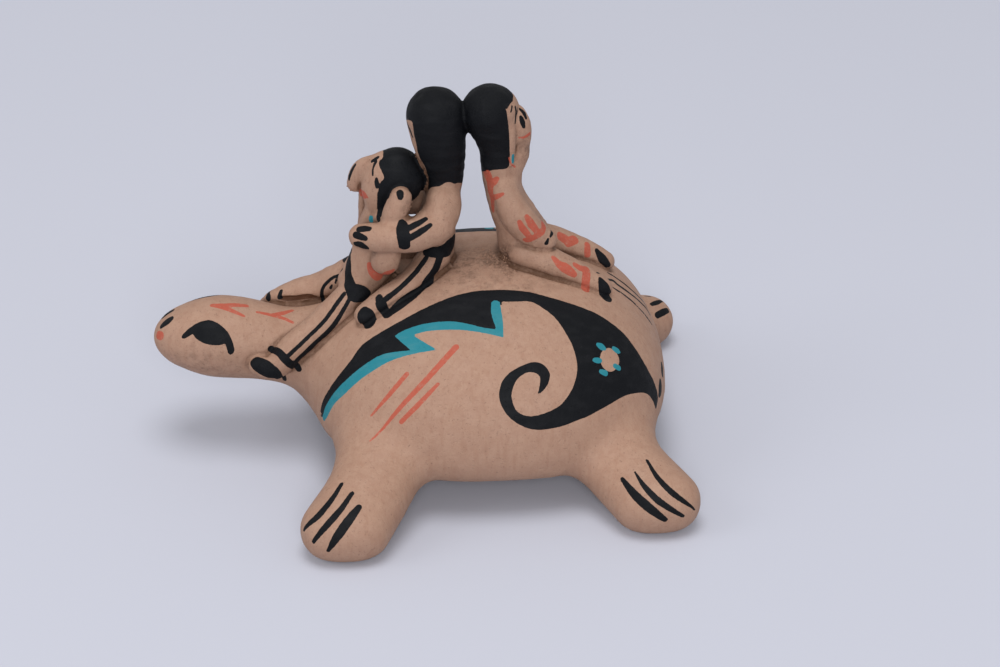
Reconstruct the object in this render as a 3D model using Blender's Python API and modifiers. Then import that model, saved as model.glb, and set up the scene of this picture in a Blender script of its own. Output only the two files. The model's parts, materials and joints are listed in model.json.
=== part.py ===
"""A hand-modelled clay turtle carrying three small children on its back, fired as one piece.

The turtle looks towards -X and stands on four feet with flat soles at z = 0. Its left flank is on -Y.
Every roll and ball of clay is a named lump with a distance to its surface. The lumps are pressed together
by a rounded union, and a mesh made from balls of the same sizes is drawn onto that surface.
"""

import math

import bmesh
import bpy
import numpy as np
from mathutils import Matrix

OBJECT_NAME = "turtle_storyteller"

# Driving dimensions of the turtle, in metres
LENGTH = 0.148
SHELL_CENTRE = (0.0172, 0.0, 0.018)
SHELL_HALF = (0.049, 0.0465, 0.0375)
SHELL_SQUARENESS = 2.45
SHELL_DEPTH = 0.050
BELLY_HEIGHT = 0.0080
BELLY_ROUNDING = 0.011
SOLE_ROUNDING = 0.0012
SOLE_PRESS = 0.0001
HEAD_HALF = (0.018, 0.0118, 0.0100)
HEAD_HEIGHT = 0.0319
NECK_RADIUS = 0.0100
TOE_HEIGHT = 0.0072
TOE_RADIUS = 0.0082
TOE_SPREAD = 0.0038
ANKLE_BEND = 0.0018
ANKLE_SPREAD = 0.0032
HIP_SPREAD = 0.0025

# How softly one lump runs into the next
NECK_BLEND = 0.011
LEG_BLEND = 0.007
CHILD_BLEND = 0.0015
SEAT_BLEND = 0.0012
SLEEVE_BLEND = 0.003

# Mesh fineness
VOXEL = 0.0006
SWELL = 0.0003
TRIANGLES = 9400
SETTLE_ROUNDS = 6
DIFFERENCE = 0.00002

CLAY_COLOUR = (0.72, 0.43, 0.29, 1.0)
CLAY_ROUGHNESS = 0.85


def vector(*values):
    return np.array(values, float)


def shell_top(x, y, lift=0.0):
    """The point on the shell above (x, y), raised by lift."""
    across = (
        abs((x - SHELL_CENTRE[0]) / SHELL_HALF[0]) ** SHELL_SQUARENESS
        + abs(y / SHELL_HALF[1]) ** SHELL_SQUARENESS
    ) ** (2 / SHELL_SQUARENESS)
    return x, y, SHELL_CENTRE[2] + SHELL_HALF[2] * math.sqrt(max(0.0, 1 - across)) + lift


class Lump:
    """One ball or roll of clay: how far a point is from its surface, and the balls that rough it out."""

    def __init__(self, blend):
        self.blend = blend

    def reach(self):
        low = np.min([centre - radius for centre, radius in self.balls()], axis=0)
        high = np.max([centre + radius for centre, radius in self.balls()], axis=0)
        margin = self.blend + 0.003
        return low - margin, high + margin


class Ball(Lump):
    """An ellipsoid of clay, turned about +Z by turn and then tipped about its own cross axis by tip."""

    def __init__(self, centre, half, blend, turn=0.0, tip=0.0):
        super().__init__(blend)
        self.centre = vector(*centre)
        self.half = vector(*half)
        spin = Matrix.Rotation(turn, 3, "Z") @ Matrix.Rotation(tip, 3, "Y")
        self.axes = np.array(spin)

    def distance(self, points):
        local = (points - self.centre) @ self.axes
        near = np.linalg.norm(local / self.half, axis=1)
        slope = np.linalg.norm(local / self.half**2, axis=1)
        return near * (near - 1) / np.maximum(slope, 1e-9)

    def balls(self):
        return [(self.centre, np.full(3, self.half.max()))]

    def shape(self):
        return [(self.centre, self.axes, self.half)]


class Shell(Ball):
    """A dome on a slightly squared oval, with steeper sides below its widest level than above it."""

    def __init__(self):
        super().__init__(SHELL_CENTRE, SHELL_HALF, 0.0)

    def size(self, points):
        """1 on the surface, growing outwards in proportion."""
        local = np.abs(points - self.centre)
        low = points[:, 2] < self.centre[2]
        height = np.where(low, local[:, 2] / SHELL_DEPTH, local[:, 2] / self.half[2])
        oval = (local[:, 0] / self.half[0]) ** SHELL_SQUARENESS
        oval += (local[:, 1] / self.half[1]) ** SHELL_SQUARENESS
        return np.sqrt(oval ** (2 / SHELL_SQUARENESS) + height**2)

    def distance(self, points):
        size = self.size(points)
        outward = np.linalg.norm(points - self.centre, axis=1)
        return (size - 1) * outward / np.maximum(size, 1e-9)

    def shape(self):
        return [(self.centre, self.axes, self.half * 1.02)]


class Roll(Lump):
    """A roll of clay through stations, each a point and a radius, with the ends rounded."""

    SPLITS = 3

    def __init__(self, stations, blend):
        super().__init__(blend)
        rows = np.array([[*point, radius] for point, radius in stations], float)
        self.path = self.smoothed(rows)

    def smoothed(self, rows):
        """Stations on a curve through the given ones, so that the roll has no corners."""
        if len(rows) < 3:
            return rows
        padded = np.vstack([2 * rows[0] - rows[1], rows, 2 * rows[-1] - rows[-2]])
        path = []
        for before, start, end, after in zip(padded, padded[1:], padded[2:], padded[3:]):
            for step in range(self.SPLITS):
                t = step / self.SPLITS
                path.append(
                    0.5
                    * (
                        2 * start
                        + (end - before) * t
                        + (2 * before - 5 * start + 4 * end - after) * t**2
                        + (3 * start - before - 3 * end + after) * t**3
                    )
                )
        return np.array([*path, rows[-1]])

    def distance(self, points):
        nearest = np.full(len(points), np.inf)
        for start, end in zip(self.path, self.path[1:]):
            along = end[:3] - start[:3]
            offset = points - start[:3]
            t = np.clip(offset @ along / (along @ along), 0, 1)
            gap = np.linalg.norm(offset - t[:, None] * along, axis=1)
            nearest = np.minimum(nearest, gap - start[3] - t * (end[3] - start[3]))
        return nearest

    def balls(self):
        return [(row[:3], row[3]) for row in self.path]

    def shape(self):
        """Balls closely along the roll, for the rough mesh."""
        found = []
        for start, end in zip(self.path, self.path[1:]):
            length = np.linalg.norm(end[:3] - start[:3])
            count = max(1, math.ceil(length / (0.35 * min(start[3], end[3]))))
            for step in range(count + 1):
                row = start + (end - start) * step / count
                found.append((row[:3], np.eye(3), np.full(3, row[3])))
        return found


def turtle_lumps():
    """Shell, neck, head and the four legs."""
    nose = -LENGTH / 2
    head_x = nose + HEAD_HALF[0]
    lumps = [
        Shell(),
        Roll(
            [
                ((head_x, 0, HEAD_HEIGHT - 0.0005), NECK_RADIUS),
                ((-0.044, 0, 0.0300), NECK_RADIUS),
                ((-0.031, 0, 0.0285), NECK_RADIUS * 1.05),
                ((-0.014, 0, 0.0265), NECK_RADIUS * 1.3),
            ],
            NECK_BLEND,
        ),
        Ball((head_x, 0, HEAD_HEIGHT), HEAD_HALF, 0.004),
    ]
    feet = (
        ((-0.0120, -0.0330, 0.0150), (-0.0221, -0.0588, TOE_HEIGHT), ANKLE_BEND),
        ((-0.0120, 0.0320, 0.0150), (-0.0185, 0.0520, TOE_HEIGHT), ANKLE_BEND),
        ((0.0480, -0.0270, 0.0140), (0.0600, -0.0494, TOE_HEIGHT), -ANKLE_BEND),
        ((0.0480, 0.0270, 0.0140), (0.0622, 0.0448, TOE_HEIGHT), -ANKLE_BEND),
    )
    for hip, toe, bend in feet:
        hip, toe = vector(*hip), vector(*toe)
        ankle = (hip + toe) / 2 + vector(bend, 0, 0.0004)
        for side in (-1, 1):
            stations = [
                (hip + side * vector(HIP_SPREAD, 0, 0), 0.0096),
                (ankle + side * vector(ANKLE_SPREAD, 0, 0), 0.0084),
                (toe + side * vector(TOE_SPREAD, 0, 0), TOE_RADIUS),
            ]
            lumps.append(Roll(stations, LEG_BLEND))
    return lumps


def front_child_lumps():
    """Astride the root of the neck, leaning back, with both hands raised to the head."""
    return [
        Roll(
            [
                ((-0.0165, -0.0005, 0.0480), 0.0068),
                ((-0.0132, -0.0005, 0.0570), 0.0063),
                ((-0.0118, 0, 0.0655), 0.0053),
                ((-0.0100, 0, 0.0730), 0.0042),
            ],
            SEAT_BLEND,
        ),
        Ball((-0.0067, 0, 0.0800), (0.0075, 0.0068, 0.0079), CHILD_BLEND),
        Ball((-0.0092, 0, 0.0782), (0.0056, 0.0056, 0.0076), CHILD_BLEND),
        Roll(
            [
                ((-0.0095, -0.0050, 0.0690), 0.0032),
                ((-0.0103, -0.0085, 0.0592), 0.0039),
                ((-0.0086, -0.0085, 0.0670), 0.0034),
                ((-0.0070, -0.0080, 0.0740), 0.0034),
                ((-0.0058, -0.0078, 0.0778), 0.0027),
            ],
            CHILD_BLEND,
        ),
        Roll(
            [
                ((-0.0115, 0.0050, 0.0685), 0.0031),
                ((-0.0142, 0.0072, 0.0605), 0.0032),
                ((-0.0150, 0.0056, 0.0680), 0.0020),
                ((-0.0153, 0.0044, 0.0740), 0.0019),
            ],
            CHILD_BLEND,
        ),
        Roll(
            [
                ((-0.0179, 0.0040, 0.0760), 0.0022),
                ((-0.0169, 0.0036, 0.0794), 0.0024),
                ((-0.0151, 0.0026, 0.0820), 0.0023),
                ((-0.0110, 0.0008, 0.0841), 0.0022),
            ],
            CHILD_BLEND,
        ),
        Roll(
            [
                ((-0.0180, -0.0050, 0.0470), 0.0052),
                ((-0.0275, -0.0080, 0.0395), 0.0043),
                ((-0.0360, -0.0105, 0.0335), 0.0038),
                ((-0.0410, -0.0115, 0.0285), 0.0036),
                ((-0.0455, -0.0112, 0.0290), 0.0028),
            ],
            SEAT_BLEND,
        ),
        Roll(
            [
                ((-0.0180, 0.0050, 0.0480), 0.0052),
                ((-0.0275, 0.0080, 0.0420), 0.0043),
                ((-0.0345, 0.0090, 0.0395), 0.0039),
                ((-0.0400, 0.0098, 0.0368), 0.0035),
                ((-0.0435, 0.0105, 0.0340), 0.0028),
            ],
            SEAT_BLEND,
        ),
    ]


def middle_child_lumps():
    """Sitting behind the first child and holding it round the waist."""
    lumps = [
        Roll(
            [
                ((0.0032, 0, 0.0575), 0.0052),
                ((0.0038, 0, 0.0660), 0.0050),
                ((0.0052, 0, 0.0740), 0.0047),
                ((0.0060, 0, 0.0805), 0.0050),
                ((0.0045, 0, 0.0895), 0.0068),
                ((0.0034, 0, 0.0981), 0.0075),
            ],
            SEAT_BLEND,
        )
    ]
    for side in (-1, 1):
        arm = [
            ((0.0055, side * 0.0040, 0.0750), 0.0042),
            ((0.0045, side * 0.0080, 0.0685), 0.0044),
            ((-0.0030, side * 0.0108, 0.0682), 0.0043),
            ((-0.0110, side * 0.0108, 0.0674), 0.0040),
        ]
        if side < 0:
            arm.append(((-0.0165, -0.0088, 0.0670), 0.0034))
        lumps.append(Roll(arm, CHILD_BLEND))
        lumps.append(
            Roll(
                [
                    ((0.0060, side * 0.0040, 0.0742), 0.0037),
                    ((-0.0032, side * 0.0104, 0.0682), 0.0034),
                ],
                SLEEVE_BLEND,
            )
        )
        lumps.append(
            Roll(
                [
                    ((0.0030, side * 0.0040, 0.0575), 0.0043),
                    (shell_top(-0.0030, side * 0.0092, 0.0010), 0.0036),
                    (shell_top(-0.0110, side * 0.0122, 0.0008), 0.0032),
                    (shell_top(-0.0160, side * 0.0138, 0.0008), 0.0030),
                ],
                SEAT_BLEND,
            )
        )
    return lumps


def rear_child_lumps():
    """Back to back with the middle child, hands on its knees and legs stretched over the shell."""
    lumps = [
        Roll(
            [
                ((0.0268, 0.0010, 0.0585), 0.0066),
                ((0.0256, 0.0008, 0.0650), 0.0060),
                ((0.0232, 0.0004, 0.0708), 0.0055),
                ((0.0216, 0, 0.0760), 0.0050),
                ((0.0208, 0, 0.0822), 0.0051),
                ((0.0204, 0, 0.0890), 0.0054),
                ((0.0186, 0, 0.0990), 0.0072),
            ],
            SEAT_BLEND,
        ),
        Ball((0.0242, 0, 0.0925), (0.0050, 0.0042, 0.0080), CHILD_BLEND),
        Roll(
            [
                ((0.0250, 0, 0.0860), 0.0035),
                ((0.0236, 0, 0.0815), 0.0033),
                ((0.0220, 0, 0.0765), 0.0034),
            ],
            CHILD_BLEND,
        ),
    ]
    for side, tuck in ((-0.0042, 0.0), (0.0030, 0.0018)):
        lumps.append(
            Roll(
                [
                    ((0.0216 - tuck, side * 0.85, 0.0775), 0.0036),
                    ((0.0246 - tuck, side * 1.15, 0.0705), 0.0042),
                    ((0.0288 - tuck, side * 1.10, 0.0652), 0.0040),
                    ((0.0326 - tuck, side, 0.0618), 0.0030),
                ],
                CHILD_BLEND,
            )
        )
    near_leg = (
        (0.0270, -0.0035, 0.0580),
        shell_top(0.0345, -0.0058, 0.0022),
        shell_top(0.0420, -0.0060, 0.0010),
        shell_top(0.0480, -0.0060, 0.0004),
    )
    far_leg = (
        (0.0280, 0.0050, 0.0585),
        shell_top(0.0350, 0.0080, 0.0022),
        shell_top(0.0430, 0.0096, 0.0013),
        shell_top(0.0500, 0.0104, 0.0012),
    )
    for points in (near_leg, far_leg):
        stations = list(zip(points, (0.0046, 0.0040, 0.0035, 0.0028)))
        lumps.append(Roll(stations, SEAT_BLEND))
    return lumps


def rounded_union(first, second, blend):
    """The smaller distance, with the corner between the two filled by a fillet."""
    if blend <= 0:
        return np.minimum(first, second)
    overlap = np.maximum(blend - np.abs(first - second), 0) / blend
    return np.minimum(first, second) - overlap**2 * blend / 4


class Clay:
    """All lumps pressed together, cut flat under the belly and under the feet."""

    def __init__(self):
        self.shell, *self.turtle = turtle_lumps()
        self.children = front_child_lumps() + middle_child_lumps() + rear_child_lumps()
        self.reaches = {lump: lump.reach() for lump in self.turtle + self.children}

    def distance(self, points):
        belly = BELLY_HEIGHT - points[:, 2]
        result = -rounded_union(-self.shell.distance(points), -belly, BELLY_ROUNDING)
        for lump in self.turtle + self.children:
            low, high = self.reaches[lump]
            near = np.all((points > low) & (points < high), axis=1)
            if near.any():
                gap = lump.distance(points[near])
                result[near] = rounded_union(result[near], gap, lump.blend)
        return -rounded_union(-result, points[:, 2], SOLE_ROUNDING)

    def lumps(self):
        return [self.shell] + self.turtle + self.children


def settled(points, clay):
    """The points moved along the slope of the distance onto the clay's surface."""
    for _ in range(SETTLE_ROUNDS):
        here = clay.distance(points)
        slope = np.stack(
            [clay.distance(points + DIFFERENCE * axis) - here for axis in np.eye(3)], axis=1
        )
        slope /= DIFFERENCE
        points = points - (here / np.maximum((slope**2).sum(1), 0.25))[:, None] * slope
    return points


def unit_ball(detail):
    """Corners and faces of a ball of radius 1."""
    mesh = bmesh.new()
    bmesh.ops.create_icosphere(mesh, subdivisions=detail, radius=1)
    mesh.verts.index_update()
    corners = np.array([corner.co for corner in mesh.verts])
    faces = np.array([[corner.index for corner in face.verts] for face in mesh.faces])
    mesh.free()
    return corners, faces


def rough_mesh(clay):
    """Overlapping balls of the lumps' own sizes, a little swollen so that hairline gaps close."""
    fine, plain = unit_ball(5), unit_ball(3)
    points, faces, count = [], [], 0
    for lump in clay.lumps():
        for centre, axes, half in lump.shape():
            corners, triangles = fine if half.max() > 0.02 else plain
            points.append(centre + (corners * (half + SWELL)) @ axes.T)
            faces.append(triangles + count)
            count += len(corners)
    data = bpy.data.meshes.new(OBJECT_NAME)
    data.from_pydata(np.vstack(points).tolist(), [], np.vstack(faces).tolist())
    return data


def apply_modifier(thing, kind, **settings):
    modifier = thing.modifiers.new(kind, kind)
    for name, value in settings.items():
        setattr(modifier, name, value)
    graph = bpy.context.evaluated_depsgraph_get()
    data = bpy.data.meshes.new_from_object(thing.evaluated_get(graph))
    thing.modifiers.clear()
    old, thing.data = thing.data, data
    bpy.data.meshes.remove(old)


def vertex_array(data):
    points = np.empty(len(data.vertices) * 3)
    data.vertices.foreach_get("co", points)
    return points.reshape(-1, 3)


def draw_onto_surface(thing, clay):
    points = settled(vertex_array(thing.data), clay)
    points[points[:, 2] < SOLE_PRESS, 2] = 0.0
    thing.data.vertices.foreach_set("co", points.ravel())
    thing.data.update()


def thin_out(thing):
    """Fewer triangles, kept where the surface bends most: on the children, toes and neck."""
    triangles = sum(len(polygon.vertices) - 2 for polygon in thing.data.polygons)
    apply_modifier(thing, "DECIMATE", ratio=TRIANGLES / triangles, use_collapse_triangulate=True)


def centre_on_floor(thing):
    """Puts the origin under the middle of the figure, on the floor."""
    points = vertex_array(thing.data)
    middle = (points.min(0) + points.max(0)) / 2
    thing.data.transform(Matrix.Translation((-middle[0], -middle[1], 0)))


def clay_material():
    material = bpy.data.materials.new("buff_clay")
    material.use_nodes = True
    surface = material.node_tree.nodes["Principled BSDF"]
    surface.inputs["Base Color"].default_value = CLAY_COLOUR
    surface.inputs["Roughness"].default_value = CLAY_ROUGHNESS
    surface.inputs["Metallic"].default_value = 0.0
    return material


def build_figure(collection):
    clay = Clay()
    thing = bpy.data.objects.new(OBJECT_NAME, rough_mesh(clay))
    collection.objects.link(thing)
    apply_modifier(thing, "REMESH", mode="VOXEL", voxel_size=VOXEL, adaptivity=0.0)
    draw_onto_surface(thing, clay)
    thin_out(thing)
    draw_onto_surface(thing, clay)
    centre_on_floor(thing)
    thing.data.materials.append(clay_material())
    thing.data.shade_smooth()
    return thing


def main():
    for old in list(bpy.data.objects):
        bpy.data.objects.remove(old, do_unlink=True)
    collection = bpy.data.collections.new(OBJECT_NAME)
    bpy.context.scene.collection.children.link(collection)
    build_figure(collection)


main()
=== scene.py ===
"""The looks of a hand-modelled clay turtle that carries three children, painted in matte colours.

The figure is one fired piece, so it is one mesh. Its clay lumps are pressed together in a distance field, a
mesh is drawn onto that field, and its edges are halved where a painted edge runs. Each brush stroke is given
where the photograph shows it, and is cast from the camera onto the clay. Every painted area is stored on the
mesh as the distance to its edge, in millimetres, and the material reads it.
"""

import itertools
import json
import math

import bmesh
import bpy
import numpy as np
from mathutils import Matrix, Vector

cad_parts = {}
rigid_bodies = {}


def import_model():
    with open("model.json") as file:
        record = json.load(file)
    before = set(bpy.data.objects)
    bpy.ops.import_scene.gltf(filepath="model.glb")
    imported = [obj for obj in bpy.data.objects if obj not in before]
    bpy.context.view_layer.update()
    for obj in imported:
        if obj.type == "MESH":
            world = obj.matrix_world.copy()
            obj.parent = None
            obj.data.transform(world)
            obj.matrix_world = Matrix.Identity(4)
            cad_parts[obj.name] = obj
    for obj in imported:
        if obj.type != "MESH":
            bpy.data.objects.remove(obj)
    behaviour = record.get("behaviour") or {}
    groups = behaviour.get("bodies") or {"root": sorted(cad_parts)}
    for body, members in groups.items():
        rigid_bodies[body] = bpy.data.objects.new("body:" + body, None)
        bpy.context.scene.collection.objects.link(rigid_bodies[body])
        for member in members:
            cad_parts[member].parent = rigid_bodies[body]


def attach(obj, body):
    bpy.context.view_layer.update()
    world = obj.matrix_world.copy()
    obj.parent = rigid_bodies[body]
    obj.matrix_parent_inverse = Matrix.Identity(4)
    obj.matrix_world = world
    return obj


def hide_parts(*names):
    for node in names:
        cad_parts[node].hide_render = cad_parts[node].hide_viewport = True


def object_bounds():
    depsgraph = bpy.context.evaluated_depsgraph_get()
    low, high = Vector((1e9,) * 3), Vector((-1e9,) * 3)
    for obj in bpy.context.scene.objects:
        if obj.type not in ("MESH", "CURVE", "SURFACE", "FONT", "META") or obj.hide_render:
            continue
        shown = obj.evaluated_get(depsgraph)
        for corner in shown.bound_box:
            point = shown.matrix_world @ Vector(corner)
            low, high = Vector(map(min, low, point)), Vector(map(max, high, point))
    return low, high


bl_info = {
    "name": "Painted clay turtle storyteller",
    "version": (1, 0, 0),
    "blender": (4, 5, 0),
    "location": "3D View > Sidebar > Storyteller",
    "description": "Builds a painted clay turtle with three children, its clay crumbs and its stage",
    "category": "Object",
}

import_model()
CAD_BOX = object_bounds()

NODE = "turtle_storyteller"
BODY = "root"
MM = 0.001

# Fineness of the mesh, in metres: the first voxels, how far the lumps swell, the step for slopes, and the
# lengths above which edges are halved at painted edges and on rough clay
VOXEL = 0.0006
SWELL = 0.0003
DIFFERENCE = 0.00002
PAINT_EDGE_LENGTH = 0.00040
CRUMBLY_EDGE_LENGTH = 0.00055

# How often points are settled and edges are halved, and how many triangles there may be
SETTLE_ROUNDS = 5
HALVING_ROUNDS = 4
BASE_TRIANGLES = 62000
MOST_TRIANGLES = 196000
NEARLY_FULL = 0.98

# An edge is halved where paint ends within this share of its length, or where the clay is rougher than this
PAINT_NEARNESS = 0.6
LEAST_ROUGH = 0.05
LEAST_CREASE = 0.15

# The photograph, in pixels, and the point that its middle shows, in metres from the turtle's middle
PHOTO_WIDTH = 1000
PHOTO_HEIGHT = 667
SENSOR_WIDTH = 36.0
LOOK_AT = (0.02075, 0.0, 0.0304)

# In millimetres: a distance that means nothing is near, and half the width of the thinnest brush line
FAR = 6.0
THINNEST_STROKE = 0.28

# Softness of the joins between lumps, in millimetres
NECK, LEG, CHILD, SEAT, SLEEVE, CHIN = 11.0, 5.5, 1.5, 0.8, 3.0, 4.0
FACE, RIDGE = 0.5, 0.4

# Rolls of clay: softness of the join, then stations (x, y, z, radius) in millimetres
FRONT_CHILD = {
    "front_torso": (
        SEAT,
        ((-16.5, -0.5, 48.0, 6.8), (-13.2, -0.5, 57.0, 6.3), (-11.8, 0, 65.5, 5.3), (-10.0, 0, 73.0, 4.2)),
    ),
    "front_near_arm": (
        CHILD,
        (
            (-9.5, -5.0, 69.0, 3.2),
            (-10.3, -8.5, 59.2, 3.9),
            (-8.6, -8.5, 67.0, 3.4),
            (-7.0, -8.0, 74.0, 3.4),
            (-5.8, -8.0, 77.8, 2.7),
        ),
    ),
    "front_far_arm": (
        CHILD,
        ((-11.5, 5.0, 68.5, 3.1), (-14.2, 7.2, 60.5, 3.2), (-15.0, 5.6, 68.0, 2.0), (-15.3, 4.4, 74.0, 1.9)),
    ),
    "front_far_hand": (
        CHILD,
        ((-17.9, 4.0, 76.0, 2.2), (-16.9, 3.6, 79.4, 2.4), (-15.1, 2.6, 82.0, 2.3), (-11.0, 0.8, 84.1, 2.2)),
    ),
    "front_near_leg": (
        SEAT,
        (
            (-18.0, -5.0, 47.0, 5.2),
            (-27.5, -8.0, 39.5, 4.3),
            (-36.0, -10.5, 33.5, 3.8),
            (-41.0, -11.5, 28.5, 3.6),
            (-45.5, -11.2, 29.0, 2.8),
        ),
    ),
    "front_far_leg": (
        SEAT,
        (
            (-18.0, 5.0, 48.0, 5.2),
            (-27.5, 8.0, 42.0, 4.3),
            (-34.5, 9.0, 39.5, 3.9),
            (-40.0, 9.8, 36.8, 3.5),
            (-43.5, 10.5, 34.0, 2.8),
        ),
    ),
}
MIDDLE_BODY = (
    (3.2, 0, 57.5, 5.2),
    (3.8, 0, 66.0, 5.0),
    (5.2, 0, 74.0, 4.7),
    (6.0, 0, 80.5, 5.0),
    (4.8, 0, 89.5, 7.0),
    (3.75, 0, 97.75, 7.85),
)
MIDDLE_ARM = (
    (5.5, 4.0, 75.0, 4.2),
    (4.5, 8.0, 69.0, 4.0),
    (-3.0, 10.8, 68.2, 4.3),
    (-11.0, 10.8, 67.4, 4.0),
    (-16.5, 8.8, 67.0, 3.4),
)
MIDDLE_SLEEVE = ((6.2, 4.0, 72.8, 3.4), (-3.2, 10.4, 67.2, 3.3))
REAR_BODY = (
    (26.8, 1.0, 58.5, 6.6),
    (25.6, 0.8, 65.0, 6.0),
    (23.2, 0.4, 70.8, 5.5),
    (21.6, 0, 76.0, 5.0),
    (20.8, 0, 82.2, 5.1),
    (20.4, 0, 89.0, 5.4),
    (18.25, 0, 98.65, 7.55),
)
REAR_CHIN = ((25.0, 0, 86.0, 3.5), (23.6, 0, 81.5, 3.3), (22.0, 0, 76.5, 3.4))
REAR_HAIR_RIDGE = (
    (22.6, 3.9, 98.5, 1.2), (23.3, 4.2, 95.0, 1.4), (23.4, 4.3, 90.0, 1.4), (23.2, 4.1, 85.5, 1.2),
)
REAR_ARM = (
    (21.6, 0.85, 77.5, 3.6), (24.6, 1.15, 70.5, 4.2), (28.8, 1.10, 65.2, 4.0), (32.6, 1.0, 61.8, 3.0),
)
# How far past its surface and its join a lump is still looked at, in metres
REACH_MARGIN = 0.003

# Balls of clay: centre and half sizes in metres
FRONT_HEAD = ((-0.0067, 0, 0.0800), (0.0075, 0.0068, 0.0079))
FRONT_FACE = ((-0.0102, 0.0003, 0.0766), (0.0060, 0.0053, 0.0077))
REAR_FACE = ((0.0242, 0, 0.0925), (0.0050, 0.0040, 0.0080))

# Painted outlines of the turtle's near side, as (across, down) in pixels of the photograph
SCROLL_BACK = (
    (320, 412), (323, 400), (334, 382), (351, 360), (362, 345), (381, 332), (404, 319), (425, 308),
    (451, 297), (477, 291), (505, 290), (529, 292), (550, 297), (576, 305), (599, 315), (620, 330),
    (635, 348), (646, 366), (654, 382), (658, 397), (656, 410),
)  # fmt: skip
SCROLL_FOOT = (
    (656, 410), (652, 399), (646, 393.5), (638, 393), (625, 396), (609, 405), (589, 416), (576, 421),
    (560, 427), (539, 430), (524, 427), (511, 419), (503, 409), (499, 397), (501, 384), (508, 374),
    (521, 366), (534, 362), (544, 365), (550, 374), (548, 384), (543, 391), (537, 396),
)  # fmt: skip
SCROLL_INSIDE = (
    (537, 396), (539, 388), (540, 378), (535, 373), (526, 373), (517, 380), (512, 392), (513, 403),
    (518, 412), (529, 416), (542, 414), (556, 408), (565, 400), (573, 387), (577, 371), (576, 358),
    (572, 345), (565, 332), (556, 319), (544, 309), (531, 302), (516, 302), (500, 302),
)  # fmt: skip
BOLT_TOP = ((500, 302), (495, 300), (491, 302))
BOLT_NEAR_SIDE = ((491, 302), (491, 314), (496, 329))
BOLT_FAR_SIDE = ((504, 338), (503, 320), (500, 302))
LIGHTNING_BACK_HIGH = ((496, 329), (482, 327), (466, 323), (446, 321), (422, 324), (404, 330), (394, 336))
LIGHTNING_BACK_STEP = ((394, 336), (410, 350))
LIGHTNING_BACK_LOW = (
    (410, 350), (399, 351), (383, 354), (368, 362), (352, 374), (336, 390), (326, 405), (322, 417),
)  # fmt: skip
LIGHTNING_FRONT_LOW = (
    (322, 417), (325, 421), (334, 405), (344, 395), (360, 380), (375, 370), (391, 361), (414, 354),
    (438, 350),
)  # fmt: skip
LIGHTNING_FRONT_STEP = ((438, 350), (413, 335))
LIGHTNING_FRONT_HIGH = ((413, 335), (430, 331), (451, 330), (469, 331), (487, 334), (504, 338))
EYE_LID = (
    (181, 336.5), (186, 331), (195, 324), (207, 320), (215, 321.5), (223, 327), (229, 334), (233, 343),
    (234.5, 350), (233, 354), (230.5, 355), (228, 353), (226.5, 348), (225, 343.5),
)  # fmt: skip
EYE_BALL = ((225, 343.5), (221, 345), (215, 345.5), (208, 344.5), (201, 342), (196, 338.5), (192.5, 334))
EYE_CORNER = ((192.5, 334), (187, 337.5), (183, 339), (181, 336.5))
MOTIF_BACK = (
    (600, 357), (603, 350.5), (609, 348), (615, 351), (619, 358), (618.5, 365), (613, 371),
    (607, 370.5), (602, 365), (600, 357),
)  # fmt: skip

# Edges of the painted hair, in the same pixels, closed far outside the heads
MIDDLE_HAIR_EDGE = (
    (380, 119), (408, 120), (412.5, 125), (413.5, 133), (416, 145), (420, 158), (425, 168), (427, 175),
    (428, 190), (433, 188), (440, 186), (448, 182), (455, 184), (460, 183), (490, 183),
)  # fmt: skip
MIDDLE_HAIR_OUTSIDE = ((490, 183), (490, 60), (380, 60), (380, 119))
FRONT_HAIR_EDGE = (
    (383, 130), (383, 156), (380, 160), (379, 165), (382, 172), (384, 178), (380, 183), (378, 192),
    (377, 205), (378, 213), (386, 218), (404, 220), (440, 218),
)  # fmt: skip
FRONT_HAIR_OUTSIDE = ((440, 218), (440, 130), (383, 130))
REAR_HAIR_EDGE = (
    (513, 60), (513, 97), (511, 103), (506, 107.5), (507, 113), (508.5, 125), (509.5, 140),
    (509.8, 160), (508.5, 167), (505, 169), (493, 170), (484, 171.5), (450, 172),
)  # fmt: skip
REAR_HAIR_OUTSIDE = ((450, 172), (450, 60), (513, 60))

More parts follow.
